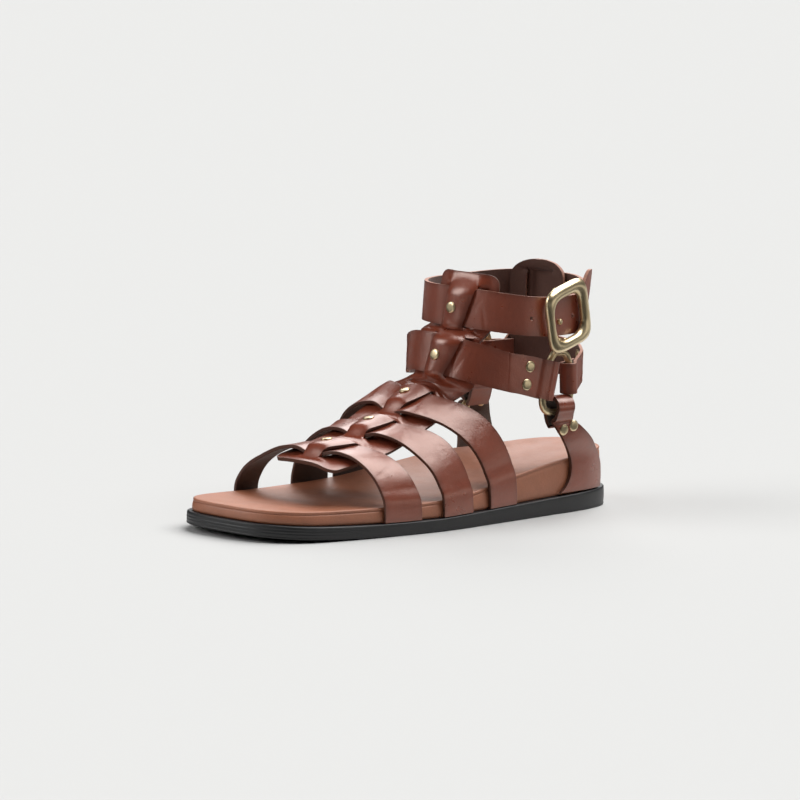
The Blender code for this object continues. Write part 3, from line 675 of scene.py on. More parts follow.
def leather_sheet(name, points, outward, node, looks, thickness, cut=None):
    """Leather piece through a grid of points: grain outside, flesh inside, and a rounded cut edge."""
    bm = bmesh.new()
    rows, columns = points.shape[:2]
    verts = [[bm.verts.new(world(points[i, j])) for j in range(columns)] for i in range(rows)]
    for i in range(rows - 1):
        for j in range(columns - 1):
            if cut is None or not cut[i, j]:
                bm.faces.new((verts[i][j], verts[i + 1][j], verts[i + 1][j + 1], verts[i][j + 1]))
    bm.normal_update()
    i, j, direction = outward
    want = Vector((direction[0], -direction[1], direction[2]))
    if verts[i][j].normal.dot(want) < 0:
        bmesh.ops.reverse_faces(bm, faces=bm.faces[:])
    bmesh.ops.delete(bm, geom=[v for v in bm.verts if not v.link_faces], context="VERTS")
    mark_rim(bm)
    obj = mesh_object(name, bm)
    solid = obj.modifiers.new("leather thickness", "SOLIDIFY")
    solid.thickness = thickness * MM
    solid.offset = 0.0
    solid.use_quality_normals = True
    solid.material_offset = 1
    solid.material_offset_rim = 2
    rounded = obj.modifiers.new("rounded cut edge", "BEVEL")
    rounded.width = sizes().edge_round * MM
    rounded.segments = 2
    rounded.limit_method = "ANGLE"
    rounded.angle_limit = math.radians(55)
    rounded.harden_normals = True
    return ride_in(obj, node, looks)


def across_grid(first, second, columns, crown=0.0):
    """Grid between two edge lines, crowned towards its middle."""
    shares = np.linspace(0, 1, columns)
    points = first[:, None, :] + (second - first)[:, None, :] * shares[None, :, None]
    return points + grid_normals(points) * (crown * (1 - (2 * shares - 1) ** 2))[None, :, None]


def frame_of(turn):
    """Forward and outward directions of an upright plane turned about the vertical."""
    a = math.radians(turn)
    forward = np.array((math.sin(a), math.cos(a), 0.0))
    lateral = np.array((math.cos(a), -math.sin(a), 0.0))
    return forward, lateral


def fold(radius, reach, back):
    """Profile of a strap end folded round a bar: along the strap and outwards from the bar."""
    layer = sizes().leather / 2 + 0.25
    turn = [math.radians(q) for q in range(60, 301, 20)]
    free = reach - radius
    near, far = radius + min(2.0, 0.25 * free), radius + min(5.0, 0.6 * free)
    way_in = [(reach, layer), (far, layer + 0.4), (near, radius * 0.62)]
    way_out = [(radius + 2.0, -radius * 0.62), (radius + 5.0, -layer - 0.3), (back, -layer)]
    return way_in + [(radius * math.cos(q), radius * math.sin(q)) for q in turn] + way_out


def folded(centre, ahead, outward, across, half, profile):
    """Two edge lines of a folded strap end, from the strap to its cut end."""
    middle = np.array([centre + a * ahead + n * outward for a, n in profile])
    return middle + half * across, middle - half * across


def ring_bar(ring, toward):
    """Middle of a ring's front (1), rear (-1) or bottom (0) bar, with the way the strap leaves it."""
    centre = np.array(ring[:3])
    forward, lateral = frame_of(ring[3])
    outward = lateral if ring[0] > 0 else -lateral
    if toward:
        lean = math.radians(RING_LEAN_FRONT if toward > 0 else RING_LEAN_REAR)
        ahead = math.cos(lean) * toward * forward + math.sin(lean) * UP
        across = math.cos(lean) * UP - math.sin(lean) * toward * forward
        turn = math.radians(REAR_TURN) if toward < 0 else 0.0
        ahead, out = ahead * math.cos(turn) - outward * math.sin(turn), outward
        outward = out * math.cos(turn) + toward * forward * math.sin(turn)
        return centre + toward * forward * (RING_HALF_WIDTH - FOLD_SET), ahead, outward, across
    return centre - UP * (RING_HALF_HEIGHT - FOLD_SET_LOW), -UP, outward, forward


def spine_row_places():
    """For each spine row, a function from (length across, offset) to a point, with its half widths."""
    rows = []
    for s, medial, lateral, skew, centre in SPINE_FOOT:
        place = by_length(lambda t: foot(s, t, 0.0), np.linspace(-0.95, 0.95, 77), 0.0)
        rows.append((
            lambda w, n, s=s, skew=skew, c=centre, p=place: foot(s + skew * w, float(p(w + c)), n),
            medial,
            lateral,
        ))
    for ring, rise, table in (
        (LOWER_LOOP, LOWER_RISE, SPINE_LOWER),
        (UPPER_LOOP, UPPER_RISE, SPINE_UPPER),
    ):
        place = by_length(lambda q: loop(ring, q, 0.0, 0.0), np.linspace(-80, 80, 81), 0.0)
        for dz, medial, lateral in table:
            def at(w, n, ring=ring, rise=rise, dz=dz, p=place):
                angle = float(p(w))
                turn = angle if rise is LOWER_RISE else angle % 360
                lean = LOWER_LEAN if rise is LOWER_RISE else UPPER_LEAN
                back = np.array((0.0, lean * dz * math.cos(math.radians(angle)), 0.0))
                return loop(ring, angle, n, float(through(rise, 1, turn)) + dz) - back
            rows.append((at, medial, lateral))
    return rows


def tab_row_places():
    place = by_length(lambda q: loop(UPPER_LOOP, q, 0.0, 0.0), np.linspace(110, 270, 81), TAB_ANGLE)
    rows = []
    for z, half in TAB:
        high = float(ease(88.0, 105.0, z))

        def at(w, n, z=z, high=high):
            low = loop(BACK_LOOP, float(place(w)), n, z)
            return low + high * (loop(UPPER_LOOP, float(place(w)), n, z) - low)

        rows.append((at, half, half))
    return rows


def panel_lengths(total, first, last):
    """Row places along a panel: even in the middle, close together at its rounded ends."""
    turns = np.linspace(0, math.pi / 2, 8, endpoint=False)
    start = first * (1 - np.cos(turns))
    stop = total - last * (1 - np.cos(turns[::-1]))
    count = max(4, round((total - first - last) / 1.1))
    return np.concatenate((start, np.linspace(first, total - last, count), stop))


def corner(half, width, length, reach):
    """Half width of a panel near a rounded end, reach being the way from that end."""
    share = np.clip(reach / length, 0.0, 1.0)
    return half - width + width * math.sqrt(max(1 - (1 - share) ** 2, 0.0))


def band_rise(d, rear, front, ways):
    """Share of a band's rise over its strap, at a way d towards the toe from its rivet."""
    behind = ease(rear - ways[0], rear + ways[1], d)
    return float(behind * (1 - ease(front - ways[2], front + ways[3], d)))


def slit_panel(rows, slits, corners, rest, droop):
    """Panel with slit pairs: its bands rise over the straps, its wings stay under them.

    Its middle rests at an offset between the straps; with a droop of 1 its first end lies flat.
    Gives the grid, its cut cells and, for each slit pair, the row and column of the rivet.
    """
    z = sizes()
    step = 8
    shares = np.linspace(0, 1, 81)
    centres, normals = [], []
    for at, medial, lateral in rows:
        widths = -medial + (medial + lateral) * shares
        centres.append([at(w, 0.0) for w in widths])
        normals.append([at(w, 1.0) - at(w, 0.0) for w in widths])
    fine = smooth_line(centres, step)
    lean = smooth_line(normals, step)
    halves = smooth_line([(medial, lateral) for _, medial, lateral in rows], step)
    middle = smooth_line([at(0.0, 0.0) for at, _, _ in rows], step)
    length = run_length(middle)
    places = panel_lengths(length[-1], corners[0][2], corners[1][2])
    marks = []
    for row, rear, front in slits:
        here = length[row * step]
        marks.append((here - front[0], front[1], front[2]))
        marks.append((here - rear[0], rear[1], rear[2]))
    marks = np.array(sorted(marks))
    points, level, cut_rows = [], [], []
    first, last = corners
    across = np.linspace(-1, 1, BAND_COLUMNS)
    band_end = WING_COLUMNS + BAND_COLUMNS
    forefoot = length[len(SPINE_FOOT) * step] if droop else 0.0
    for place in places:
        i = float(np.interp(place, length, np.arange(len(length))))
        low = min(int(i), len(fine) - 2)
        share = i - low
        medial, lateral = halves[low] * (1 - share) + halves[low + 1] * share
        line = fine[low] * (1 - share) + fine[low + 1] * share
        normal = lean[low] * (1 - share) + lean[low + 1] * share
        near, far = place, length[-1] - place
        left = corner(corner(medial, first[0], first[2], near), last[0], last[2], far)
        right = corner(corner(lateral, first[1], first[2], near), last[1], last[2], far)
        slit_right = min(float(np.interp(place, marks[:, 0], marks[:, 1])), right - 1.0)
        slit_left = max(float(np.interp(place, marks[:, 0], marks[:, 2])), 1.0 - left)
        widths = np.concatenate((
            np.linspace(-left, slit_left - SLIT_LIP, WING_COLUMNS),
            np.linspace(slit_left + SLIT_LIP, slit_right - SLIT_LIP, BAND_COLUMNS),
            np.linspace(slit_right + SLIT_LIP, right, WING_COLUMNS),
        ))
        at = (widths + medial) / (medial + lateral)
        points.append([[np.interp(f, shares, line[:, k]) for k in range(3)] for f in at])
        normal = np.array([[np.interp(f, shares, normal[:, k]) for k in range(3)] for f in at])
        rise, shut, tilt, is_open = 0.0, 1.0, 0.0, False
        for row, rear, front in slits:
            d = length[row * step] - place
            ankle = row >= len(SPINE_FOOT)
            here = band_rise(d, rear[0], front[0], ANKLE_BAND if ankle else FOREFOOT_BAND)
            rise = max(rise, here)
            tilt += here * d / 10.0 * (0.0 if ankle or not droop else z.tilt)
            gap = ease(rear[0] - 2.0, rear[0] + 0.5, d) * (1 - ease(front[0] - 0.5, front[0] + 2.0, d))
            shut = min(shut, 1 - float(gap))
            is_open |= rear[0] < d < front[0]
        end = droop * float(1 - ease(0.0, 10.0, place))
        sunk = 1.2 * ease(forefoot - 2.0, forefoot + 5.0, place)
        sunk -= 0.2 * ease(forefoot + 9.0, forefoot + 16.0, place)
        deep = z.set_back * float(sunk) if droop else 0.0
        level_rest = rest * (1 - end) - (z.layer + 0.3) * end - deep
        puff = z.dome * (1.0 if place < forefoot else ANKLE_SWELL)
        band = level_rest + tilt + rise * (z.layer - level_rest + puff * (1 - across**2))
        beside = np.concatenate((slit_left - widths[:WING_COLUMNS], widths[band_end:] - slit_right))
        wing = -z.layer - 0.3 * end - deep
        joined = level_rest + tilt + rise * (z.layer - level_rest)
        wing = wing + (joined - wing) * shut * (1 - ease(0.0, WING_FADE, beside))
        lifts = np.concatenate((wing[:WING_COLUMNS], band, wing[WING_COLUMNS:]))
        level.append(normal / np.linalg.norm(normal, axis=1, keepdims=True) * lifts[:, None])
        cut_rows.append(is_open)
    points = np.array(points) + np.array(level)
    cut_rows = np.array(cut_rows)
    cut = np.zeros((len(points) - 1, points.shape[1] - 1), bool)
    for j in (WING_COLUMNS - 1, band_end - 1):
        cut[:, j] = cut_rows[:-1] & cut_rows[1:]
    seats = []
    for row, _, _ in slits:
        i = int(np.argmin(abs(places - length[row * step])))
        base = rows[row][0](-1.0, 0.0)
        way = np.linalg.norm(points[i, WING_COLUMNS:band_end] - base, axis=1)
        seats.append((i, WING_COLUMNS + int(np.argmin(way))))
    return points, cut, seats


def spine_panel():
    return slit_panel(spine_row_places(), SPINE_SLITS, (TAIL_CORNERS, TOP_CORNERS), -0.4, 1.0)


def tab_panel():
    return slit_panel(tab_row_places(), TAB_SLITS, (PLAIN_CORNERS, TAB_CORNERS), -sizes().layer, 0.0)


def weave(w, lateral, medial, rise, share=1.0):
    """Offset of a strap at a length w from its crossing: under the band, then up beside the slits.

    Its bulge under the band fades towards the front edge, where the share is 0.
    """
    edge = lateral if w > 0 else -medial
    d = abs(w) - edge
    up = float(ease(-3.0, 7.0, d) * (1 - ease(8.0, 34.0, d)))
    under = sizes().bulge * share * float(ease(1.5, 6.5, -d))
    under -= sizes().dip * (1.7 - 0.7 * share) * float(1 - ease(-2.0, 1.0, d))
    return rise * up + under


def strap_looks(edge, flesh):
    return [material_grain(), material_flesh(flesh), material_edge(edge)]


def nodes_of(name):
    """New material with its node tree and its shader."""
    made = bpy.data.materials.new(name)
    made.use_nodes = True
    return made, made.node_tree, made.node_tree.nodes["Principled BSDF"]


def add(tree, kind, **values):
    """New node with settings and input values by name."""
    node = tree.nodes.new(kind)
    for key, value in values.items():
        if hasattr(node, key) and key not in node.inputs:
            setattr(node, key, value)
        else:
            node.inputs[key].default_value = value
    return node


def noise(tree, per_mm, detail=3.0, roughness=0.55):
    """Noise in the object's own millimetres."""
    at = add(tree, "ShaderNodeTexCoord")
    node = add(tree, "ShaderNodeTexNoise", Scale=per_mm / MM, Detail=detail, Roughness=roughness)
    tree.links.new(at.outputs["Object"], node.inputs["Vector"])
    return node


def span(tree, source, low, high):
    """Maps a 0 to 1 value to a range."""
    node = add(tree, "ShaderNodeMapRange")
    node.inputs["To Min"].default_value = low
    node.inputs["To Max"].default_value = high
    tree.links.new(source, node.inputs["Value"])
    return node.outputs["Result"]


def blend_colours(tree, factor, first, second):
    """Mix of two colours or colour sockets."""
    node = add(tree, "ShaderNodeMix", data_type="RGBA")
    tree.links.new(factor, node.inputs["Factor"])
    for socket, value in ((node.inputs["A"], first), (node.inputs["B"], second)):
        for candidate in [s for s in node.inputs if s.name == socket.name and s.type == "RGBA"]:
            if hasattr(value, "links"):
                tree.links.new(value, candidate)
            else:
                candidate.default_value = (*value, 1.0)
    return [s for s in node.outputs if s.type == "RGBA"][0]


def bump(tree, shader, heights, strength, distance):
    """Bump from the sum of (height socket, weight) pairs, with a depth in millimetres."""
    total = None
    for socket, weight in heights:
        part = add(tree, "ShaderNodeMath", operation="MULTIPLY")
        tree.links.new(socket, part.inputs[0])
        part.inputs[1].default_value = weight
        if total is None:
            total = part.outputs[0]
            continue
        summed = add(tree, "ShaderNodeMath", operation="ADD")
        tree.links.new(total, summed.inputs[0])
        tree.links.new(part.outputs[0], summed.inputs[1])
        total = summed.outputs[0]
    node = add(tree, "ShaderNodeBump", Strength=strength, Distance=distance * MM)
    tree.links.new(total, node.inputs["Height"])
    tree.links.new(node.outputs["Normal"], shader.inputs["Normal"])


def scaled(colour, factor):
    return tuple(c * factor for c in colour)


def pores(tree, per_mm):
    """Fine pebble of leather."""
    at = add(tree, "ShaderNodeTexCoord")
    cells = add(tree, "ShaderNodeTexVoronoi", feature="DISTANCE_TO_EDGE", Scale=per_mm / MM)
    tree.links.new(at.outputs["Object"], cells.inputs["Vector"])
    return cells.outputs["Distance"]


def leather_material(name, colour, roughness, grain_depth, rim_dark, coat):
    """Smooth leather: cloudy dye, fine pores, darker towards its cut edges."""
    found = bpy.data.materials.get(name)
    if found:
        return found
    made, tree, shader = nodes_of(name)
    cloud = noise(tree, 0.055, 4.0)
    fleck = noise(tree, 0.9, 3.0)
    tone = blend_colours(tree, cloud.outputs["Fac"], scaled(colour, 0.72), scaled(colour, 1.25))
    tone = blend_colours(tree, span(tree, fleck.outputs["Fac"], -0.25, 0.45), tone, scaled(colour, 0.55))
    # Darkens the grain within 3 mm of every cut edge, the slits' edges included
    near = add(tree, "ShaderNodeAttribute", attribute_name="rim")
    edge_darkening = span(tree, near.outputs["Fac"], 0.0, rim_dark)
    tone = blend_colours(tree, edge_darkening, tone, scaled(colour, 0.38))
    tree.links.new(tone, shader.inputs["Base Color"])
    rub = noise(tree, 0.12, 3.0)
    gloss = span(tree, rub.outputs["Fac"], roughness - 0.1, roughness + 0.1)
    tree.links.new(gloss, shader.inputs["Roughness"])
    shader.inputs["IOR"].default_value = 1.65
    shader.inputs["Specular IOR Level"].default_value = 1.0
    shader.inputs["Specular Tint"].default_value = (1.0, 0.80, 0.72, 1.0)
    shader.inputs["Coat Weight"].default_value = coat
    shader.inputs["Coat Roughness"].default_value = 0.25
    wave = noise(tree, 0.16, 2.0)
    bump(
        tree,
        shader,
        ((pores(tree, 1.1), 0.7), (fleck.outputs["Fac"], 0.45), (wave.outputs["Fac"], 2.2)),
        0.55,
        grain_depth,
    )
    return made


def material_grain():
    return leather_material("strap_grain", finish_colours().leather, 0.31, 0.16, 0.5, 0.15)


def material_flesh(colour):
    """Suede inner side of the straps: short dull fibres."""
    name = "strap_flesh_%d" % round(1000 * colour[0])
    found = bpy.data.materials.get(name)
    if found:
        return found
    made, tree, shader = nodes_of(name)
    fibre = noise(tree, 1.4, 5.0, 0.7)
    patch = noise(tree, 0.12, 3.0)
    tone = blend_colours(tree, fibre.outputs["Fac"], scaled(colour, 0.5), scaled(colour, 1.5))
    tone = blend_colours(tree, span(tree, patch.outputs["Fac"], 0.0, 0.6), tone, scaled(colour, 0.7))
    tree.links.new(tone, shader.inputs["Base Color"])
    shader.inputs["Roughness"].default_value = 0.85
    shader.inputs["Sheen Weight"].default_value = 0.25
    bump(tree, shader, ((fibre.outputs["Fac"], 1.0),), 0.7, 0.2)
    return made


def material_edge(colour):
    """Cut and inked edge of a strap; the pale colour given for the ankle straps holds a painted highlight.
    """
    name = "strap_edge_%d" % round(1000 * colour[0])
    found = bpy.data.materials.get(name)
    if found:
        return found
    made, tree, shader = nodes_of(name)
    grit = noise(tree, 0.8, 4.0)
    tone = blend_colours(tree, grit.outputs["Fac"], scaled(colour, 0.65), scaled(colour, 1.35))
    tree.links.new(tone, shader.inputs["Base Color"])
    shader.inputs["Roughness"].default_value = 0.6
    bump(tree, shader, ((grit.outputs["Fac"], 1.0),), 0.5, 0.12)
    return made


def material_rubber():
    made, tree, shader = nodes_of("outsole_rubber")
    colour = finish_colours().rubber
    dust = noise(tree, 0.08, 5.0)
    grain = noise(tree, 1.6, 2.0)
    tone = blend_colours(tree, dust.outputs["Fac"], scaled(colour, 0.7), scaled(colour, 1.6))
    tree.links.new(tone, shader.inputs["Base Color"])
    tree.links.new(span(tree, dust.outputs["Fac"], 0.36, 0.52), shader.inputs["Roughness"])
    bump(tree, shader, ((grain.outputs["Fac"], 1.0),), 0.35, 0.06)
    return made


def material_gold():
    found = bpy.data.materials.get("pale_gold")
    if found:
        return found
    made, tree, shader = nodes_of("pale_gold")
    colour = finish_colours().gold
    tint = noise(tree, 0.1, 2.0)
    tone = blend_colours(tree, tint.outputs["Fac"], scaled(colour, 0.93), scaled(colour, 1.04))
    tree.links.new(tone, shader.inputs["Base Color"])
    shader.inputs["Metallic"].default_value = 1.0
    haze = noise(tree, 0.5, 4.0)
    tree.links.new(span(tree, haze.outputs["Fac"], 0.02, 0.07), shader.inputs["Roughness"])
    bump(tree, shader, ((tint.outputs["Fac"], 1.0),), 0.25, 0.12)
    return made


def sole_ring(inset, count):
    """Places round the outsole's edge, moved in by an inset."""
    return np.array([inset_point(k, inset) for k in np.linspace(0, len(SOLE_EDGE), count, endpoint=False)])


def stacked_rings(name, rings, close_top, close_bottom):
    """Skin over a stack of closed rings of points, lowest first, with or without its two end faces."""
    bm = bmesh.new()
    loops = [[bm.verts.new(world(p)) for p in ring] for ring in rings]
    join_rings(bm, loops)
    for wanted, ring in ((close_bottom, loops[0]), (close_top, loops[-1])):
        if wanted:
            bm.faces.new(ring)
    bmesh.ops.recalc_face_normals(bm, faces=bm.faces[:])
    return mesh_object(name, bm)


class SANDAL_OT_outsole(bpy.types.Operator):
    """Adds the rubber outsole with its ledge, toe grooves and toe spring"""

    bl_idname = "sandal.outsole"
    bl_label = "Outsole"

    def execute(self, context):
        count = 360
        low, high = 0.9, 0.8
        arcs = [math.radians(q) for q in (0, 22, 45, 68, 90)]
        rings = []
        for inset in (30.0, 20.0, 10.0, 4.0):
            rings.append([(x, s, float(lift(s))) for x, s in sole_ring(inset, count)])
        for q in arcs:
            inset = low * (1 - math.sin(q))
            ring = sole_ring(inset, count)
            rings.append([(x, s, float(lift(s)) + low * (1 - math.cos(q))) for x, s in ring])
        for share in np.linspace(0.04, 0.96, 16):
            ring = []
            for x, s in sole_ring(0.0, count):
                toe = float(ease(170.0, 235.0, s))
                bottom, top = float(lift(s)) + low, float(deck(s)) - high
                line = sum(math.exp(-(((share - c) / 0.05) ** 2)) for c in (0.42, 0.72))
                groove = 0.3 * toe * line
                swell = 0.25 * math.sin(math.pi * share)
                middle = np.array((x, s))
                inward = CENTRE - middle
                inward /= np.linalg.norm(inward)
                middle += inward * (groove - swell + 0.25)
                ring.append((middle[0], middle[1], bottom + (top - bottom) * share))
            rings.append(ring)
        for q in arcs:
            inset = 0.25 + high * (1 - math.cos(q))
            ring = sole_ring(inset, count)
            rings.append([(x, s, float(deck(s)) - high * (1 - math.sin(q))) for x, s in ring])
        for inset in (3.0, 8.0, 18.0, 30.0):
            rings.append([(x, s, float(deck(s))) for x, s in sole_ring(inset, count)])
        obj = stacked_rings("outsole_rubber", rings, True, True)
        ride_in(obj, "outsole", [material_rubber()])
        return {"FINISHED"}


class SANDAL_OT_footbed(bpy.types.Operator):
    """Adds the contoured footbed: leather cover on top, wrapped wall below"""

    bl_idname = "sandal.footbed"
    bl_label = "Footbed"

    def execute(self, context):
        across, along = 60, 150
        cover = 1.7
        u_places = [0.5 - 0.5 * math.cos(math.pi * k / along) for k in range(along + 1)]
        v_places = [0.5 - 0.5 * math.cos(math.pi * k / across) for k in range(across + 1)]
        edge = LEDGE + RIM_LEAN + 0.5
        inner = plan(edge)
        bm = bmesh.new()
        verts = []
        for u in u_places:
            row = []
            for v in v_places:
                x, s = inner(u, v)
                row.append(bm.verts.new(world((x, s, bed_top(u, v, s)))))
            verts.append(row)
        for i in range(along):
            for j in range(across):
                bm.faces.new((verts[i][j], verts[i + 1][j], verts[i + 1][j + 1], verts[i][j + 1]))
        border = [(u_places[i], v_places[0]) for i in range(along)]
        border += [(u_places[-1], v_places[j]) for j in range(across)]
        border += [(u_places[i], v_places[-1]) for i in range(along, 0, -1)]
        border += [(u_places[0], v_places[j]) for j in range(across, 0, -1)]
        index = [(i, 0) for i in range(along)] + [(along, j) for j in range(across)]
        index += [(i, across) for i in range(along, 0, -1)] + [(0, j) for j in range(across, 0, -1)]
        previous = [verts[i][j] for i, j in index]
        radius = 0.75
        turns = [math.radians(q) for q in (30, 60, 90)]
        rows = [(edge - radius * math.sin(q), radius * (1 - math.cos(q))) for q in turns]
        flat = edge - radius
        rows += [(flat, cover - 0.35), (flat + 0.3, cover), (flat + 0.42, cover + 0.12)]
        layer = bm.faces.layers.int.new("part")
        patches = {}
        for inset, drop in rows:
            patches.setdefault(inset, plan(inset))
            ring = []
            for u, v in border:
                x, s = patches[inset](u, v)
                ring.append(bm.verts.new(world((x, s, bed_top(u, v, s) - drop))))
            self.skin(bm, previous, ring, layer, 1)
            previous = ring
        for share in (0.06, 0.14, 0.25, 0.4, 0.55, 0.7, 0.82, 0.91, 0.97, 1.0):
            ring = []
            inset = LEDGE + RIM_LEAN * (1 - share) * 0.55 + 0.1
            inset += 0.8 * share**14 - 0.3 * math.sin(math.pi * share)
            patch = plan(inset)
            for u, v in border:
                x, s = patch(u, v)
                top = bed_top(u, v, s) - cover - 0.1
                bottom = float(deck(s)) + 0.05
                ring.append(bm.verts.new(world((x, s, top + (bottom - top) * share))))
            self.skin(bm, previous, ring, layer, 2)
            previous = ring
        bm.faces.new(previous)
        for face in bm.faces:
            face.material_index = face[layer]
        bmesh.ops.recalc_face_normals(bm, faces=bm.faces[:])
        rim_layer = bm.verts.layers.float.new("rim")
        for v in bm.verts:
            v[rim_layer] = 0.0
        obj = mesh_object("footbed_leather", bm)
        colour = finish_colours().cover
        looks = [
            leather_material("footbed_cover", colour, 0.58, 0.12, 0.0, 0.1),
            material_edge(scaled(colour, 0.8)),
            leather_material("footbed_wall", scaled(colour, 0.85), 0.48, 0.2, 0.0, 0.2),
        ]
        ride_in(obj, "footbed", looks)
        return {"FINISHED"}

    @staticmethod
    def skin(bm, upper, lower, layer, part):
        for face in join_rings(bm, [upper, lower]):
            face[layer] = part


class SANDAL_OT_spine(bpy.types.Operator):
    """Adds the slit spine that the straps are woven through"""

    bl_idname = "sandal.spine"
    bl_label = "Spine"

    def execute(self, context):
        points, cut, seats = spine_panel()
        points = crease(points, seats[3], np.array((0.0, 1.0, 0.3)), SPINE_CREASES)
        outward = (*seats[0], (0.0, 0.0, 1.0))
        looks = strap_looks(finish_colours().edge, finish_colours().raw)
        leather_sheet("spine", points, outward, "upper", looks, sizes().leather, cut)
        return {"FINISHED"}


class SANDAL_OT_forefoot_straps(bpy.types.Operator):
    """Adds the three straps over the forefoot"""

    bl_idname = "sandal.forefoot_straps"
    bl_label = "Forefoot straps"

    def execute(self, context):
        looks = strap_looks(finish_colours().edge, finish_colours().raw)
        for number, (front, rear) in enumerate(FOREFOOT_STRAPS):
            points = self.points(number, tuple(zip(SHOULDERS, front)), tuple(zip(SHOULDERS, rear)))
            leather_sheet(
                "forefoot_strap_%d" % (number + 1),
                crease(points, (70, 7), UP, STRAP_CREASES[number]),
                (70, 7, (0.0, 0.0, 1.0)),
                "upper",
                looks,
                sizes().leather,
            )
        return {"FINISHED"}

    @staticmethod
    def points(number, front, rear):
        z = sizes()
        _, back_slit, front_slit = SPINE_SLITS[number]
        middle = (float(through(front, 1, 0.0)) + float(through(rear, 1, 0.0))) / 2
        places = np.linspace(-1, 1, 161)
        length = run_length(np.array([foot(middle, t, 0.0) for t in places]))
        length -= np.interp(0.0, places, length)
        rows = []
        for q in np.linspace(-90, 90, 141):
            t = math.sin(math.radians(q))
            w = float(np.interp(t, places, length))
            pinch = float(1 - ease(0.22, 0.6, abs(t)))
            first = float(through(front, 1, t)) + GATHER[number][0] * pinch
            last = float(through(rear, 1, t)) + GATHER[number][1] * pinch
            lean = z.tilt * float(1 - ease(20.0, 42.0, abs(w)))
            row = []
            for f in np.linspace(0, 1, 15):
                lateral = front_slit[1] + (back_slit[1] - front_slit[1]) * f
                medial = front_slit[2] + (back_slit[2] - front_slit[2]) * f
                rise = z.weave * (1.25 - 0.7 * f) * GATHER[number][2 if w > 0 else 3]
                beside = w - lateral if w > 0 else medial - w
                free = 0.15 + 0.85 * float(ease(-2.0, 9.0, beside))
                offset = weave(w, lateral, medial, rise, float(ease(0.0, 0.5, f)))
                offset += lean * free * (1 - 2 * f)
                row.append(foot(first + (last - first) * f, t, offset))
            rows.append(row)
        return np.array(rows)


def loop_length(ring, centre):
    """Length along a loop from a centre angle to an angle."""
    places = np.linspace(centre - 100, centre + 100, 201)
    length = run_length(np.array([loop(ring, q, 0.0, 0.0) for q in places]))
    length -= np.interp(centre, places, length)
    return lambda q: float(np.interp(q, places, length))


def lower_ankle_edges():
    half = sizes().strap_width / 2
    profile = fold(*LOWER_FOLD)
    bars = []
    for ring in (RING_LATERAL, RING_MEDIAL):
        bar, ahead, outward, across = ring_bar(ring, 1)
        bars.append(folded(bar + FOLD_RAISE * across, ahead, outward, across, half, profile))
    length = loop_length(LOWER_LOOP, 0.0)
    body, upward = [], []
    for q in range(54, -61, -3):
        offset = weave(length(q), 7.5, -8.0, sizes().weave * (0.7 if q > 0 else 0.15))
        body.append(loop(LOWER_LOOP, q, offset, float(through(LOWER_RISE, 1, q))))
        lean = LOWER_LEAN * math.cos(math.radians(q)) * float(1 - ease(35.0, 60.0, abs(q)))
        upward.append(UP - np.array((0.0, lean, 0.0)))
    body = np.array(body + [np.array((-34.6, 91.0, 84.5))])
    upward = half * np.array(upward + [UP])
    edges = []
    for k, sign in ((0, 1), (1, -1)):
        edges.append(np.vstack((bars[0][k][::-1], body + sign * upward, bars[1][k])))
    return edges


def upper_ankle_edges():
    half = sizes().strap_width / 2
    forward, outward = frame_of(UPPER_LOOP[2])
    height = float(through(UPPER_RISE, 1, BUCKLE_ANGLE))
    bar = loop(UPPER_LOOP, BUCKLE_ANGLE, 0.0, height) + BUCKLE_AHEAD * forward - CHAPE_SET * outward
    profile = fold(CHAPE_BAR + 0.35 + sizes().leather / 2, 9.0, 15.0)
    ends = folded(bar, -forward, outward, UP, half - 1.0, profile)
    chape = [(118.0, -2.7), (128.0, -2.7), (140.0, -2.3), (152.0, -1.2), (163.0, 0.0)]
    front, back = loop_length(UPPER_LOOP, 360.0), loop_length(UPPER_LOOP, TAB_ANGLE)
    round_leg = []
    for q in range(167, 434, 4):
        offset = weave(front(q), 8.0, -8.0, sizes().weave * 0.6) if q > 274 else 0.0
        offset += weave(back(q), 8.0, -10.0, sizes().weave * 0.3) if q < 250 else 0.0
        round_leg.append((float(q), offset))
    free = [(441.0, 0.0), (449.0, 0.0), (457.0, 0.0)]
    free += [(463.0, 0.2), (467.0, 0.5), (471.0, 0.9), (475.0, 1.3)]
    rise = {457.0: 0.5, 463.0: 3.5, 467.0: 9.0, 471.0: 15.0, 475.0: 22.5}
    narrow = {467.0: 0.98, 471.0: 0.72, 475.0: 0.08}
    first, second = [], []
    for q, offset in chape + round_leg + free:
        z = float(through(UPPER_RISE, 1, q)) + rise.get(q, 0.0)
        point = loop(UPPER_LOOP, q, offset, z)
        lean = UPPER_LEAN * max(math.cos(math.radians(q)), 0.0) if 280 < q < 440 else 0.0
        upward = half * narrow.get(q, 1.0) * (UP - np.array((0.0, lean, 0.0)))
        first.append(point + upward)
        second.append(point - upward)
    return [np.vstack((ends[k][::-1], line)) for k, line in ((0, first), (1, second))]


def back_edges():
    half = sizes().strap_width / 2
    profile = fold(*BACK_FOLD)
    bars = []
    for ring in (RING_LATERAL, RING_MEDIAL):
        bar, ahead, outward, across = ring_bar(ring, -1)
        middle = bar + FOLD_RAISE_REAR * across
        bars.append(folded(middle, ahead, outward, across, BACK_FOLD_HALF, profile))
    angles = np.arange(126.0, 211.0, 7.0)
    body = np.array([loop(BACK_LOOP, q, 0.0, float(through(BACK_RISE, 1, q))) for q in angles])
    wide = ease(118.0, 150.0, angles) * (1 - ease(186.0, 218.0, angles))
    halves = (BACK_FOLD_HALF + (half - BACK_FOLD_HALF) * wide)[:, None]
    edges = []
    for k, sign in ((0, 1), (1, -1)):
        edges.append(np.vstack((bars[0][k][::-1], body + sign * halves * UP, bars[1][k])))
    return edges


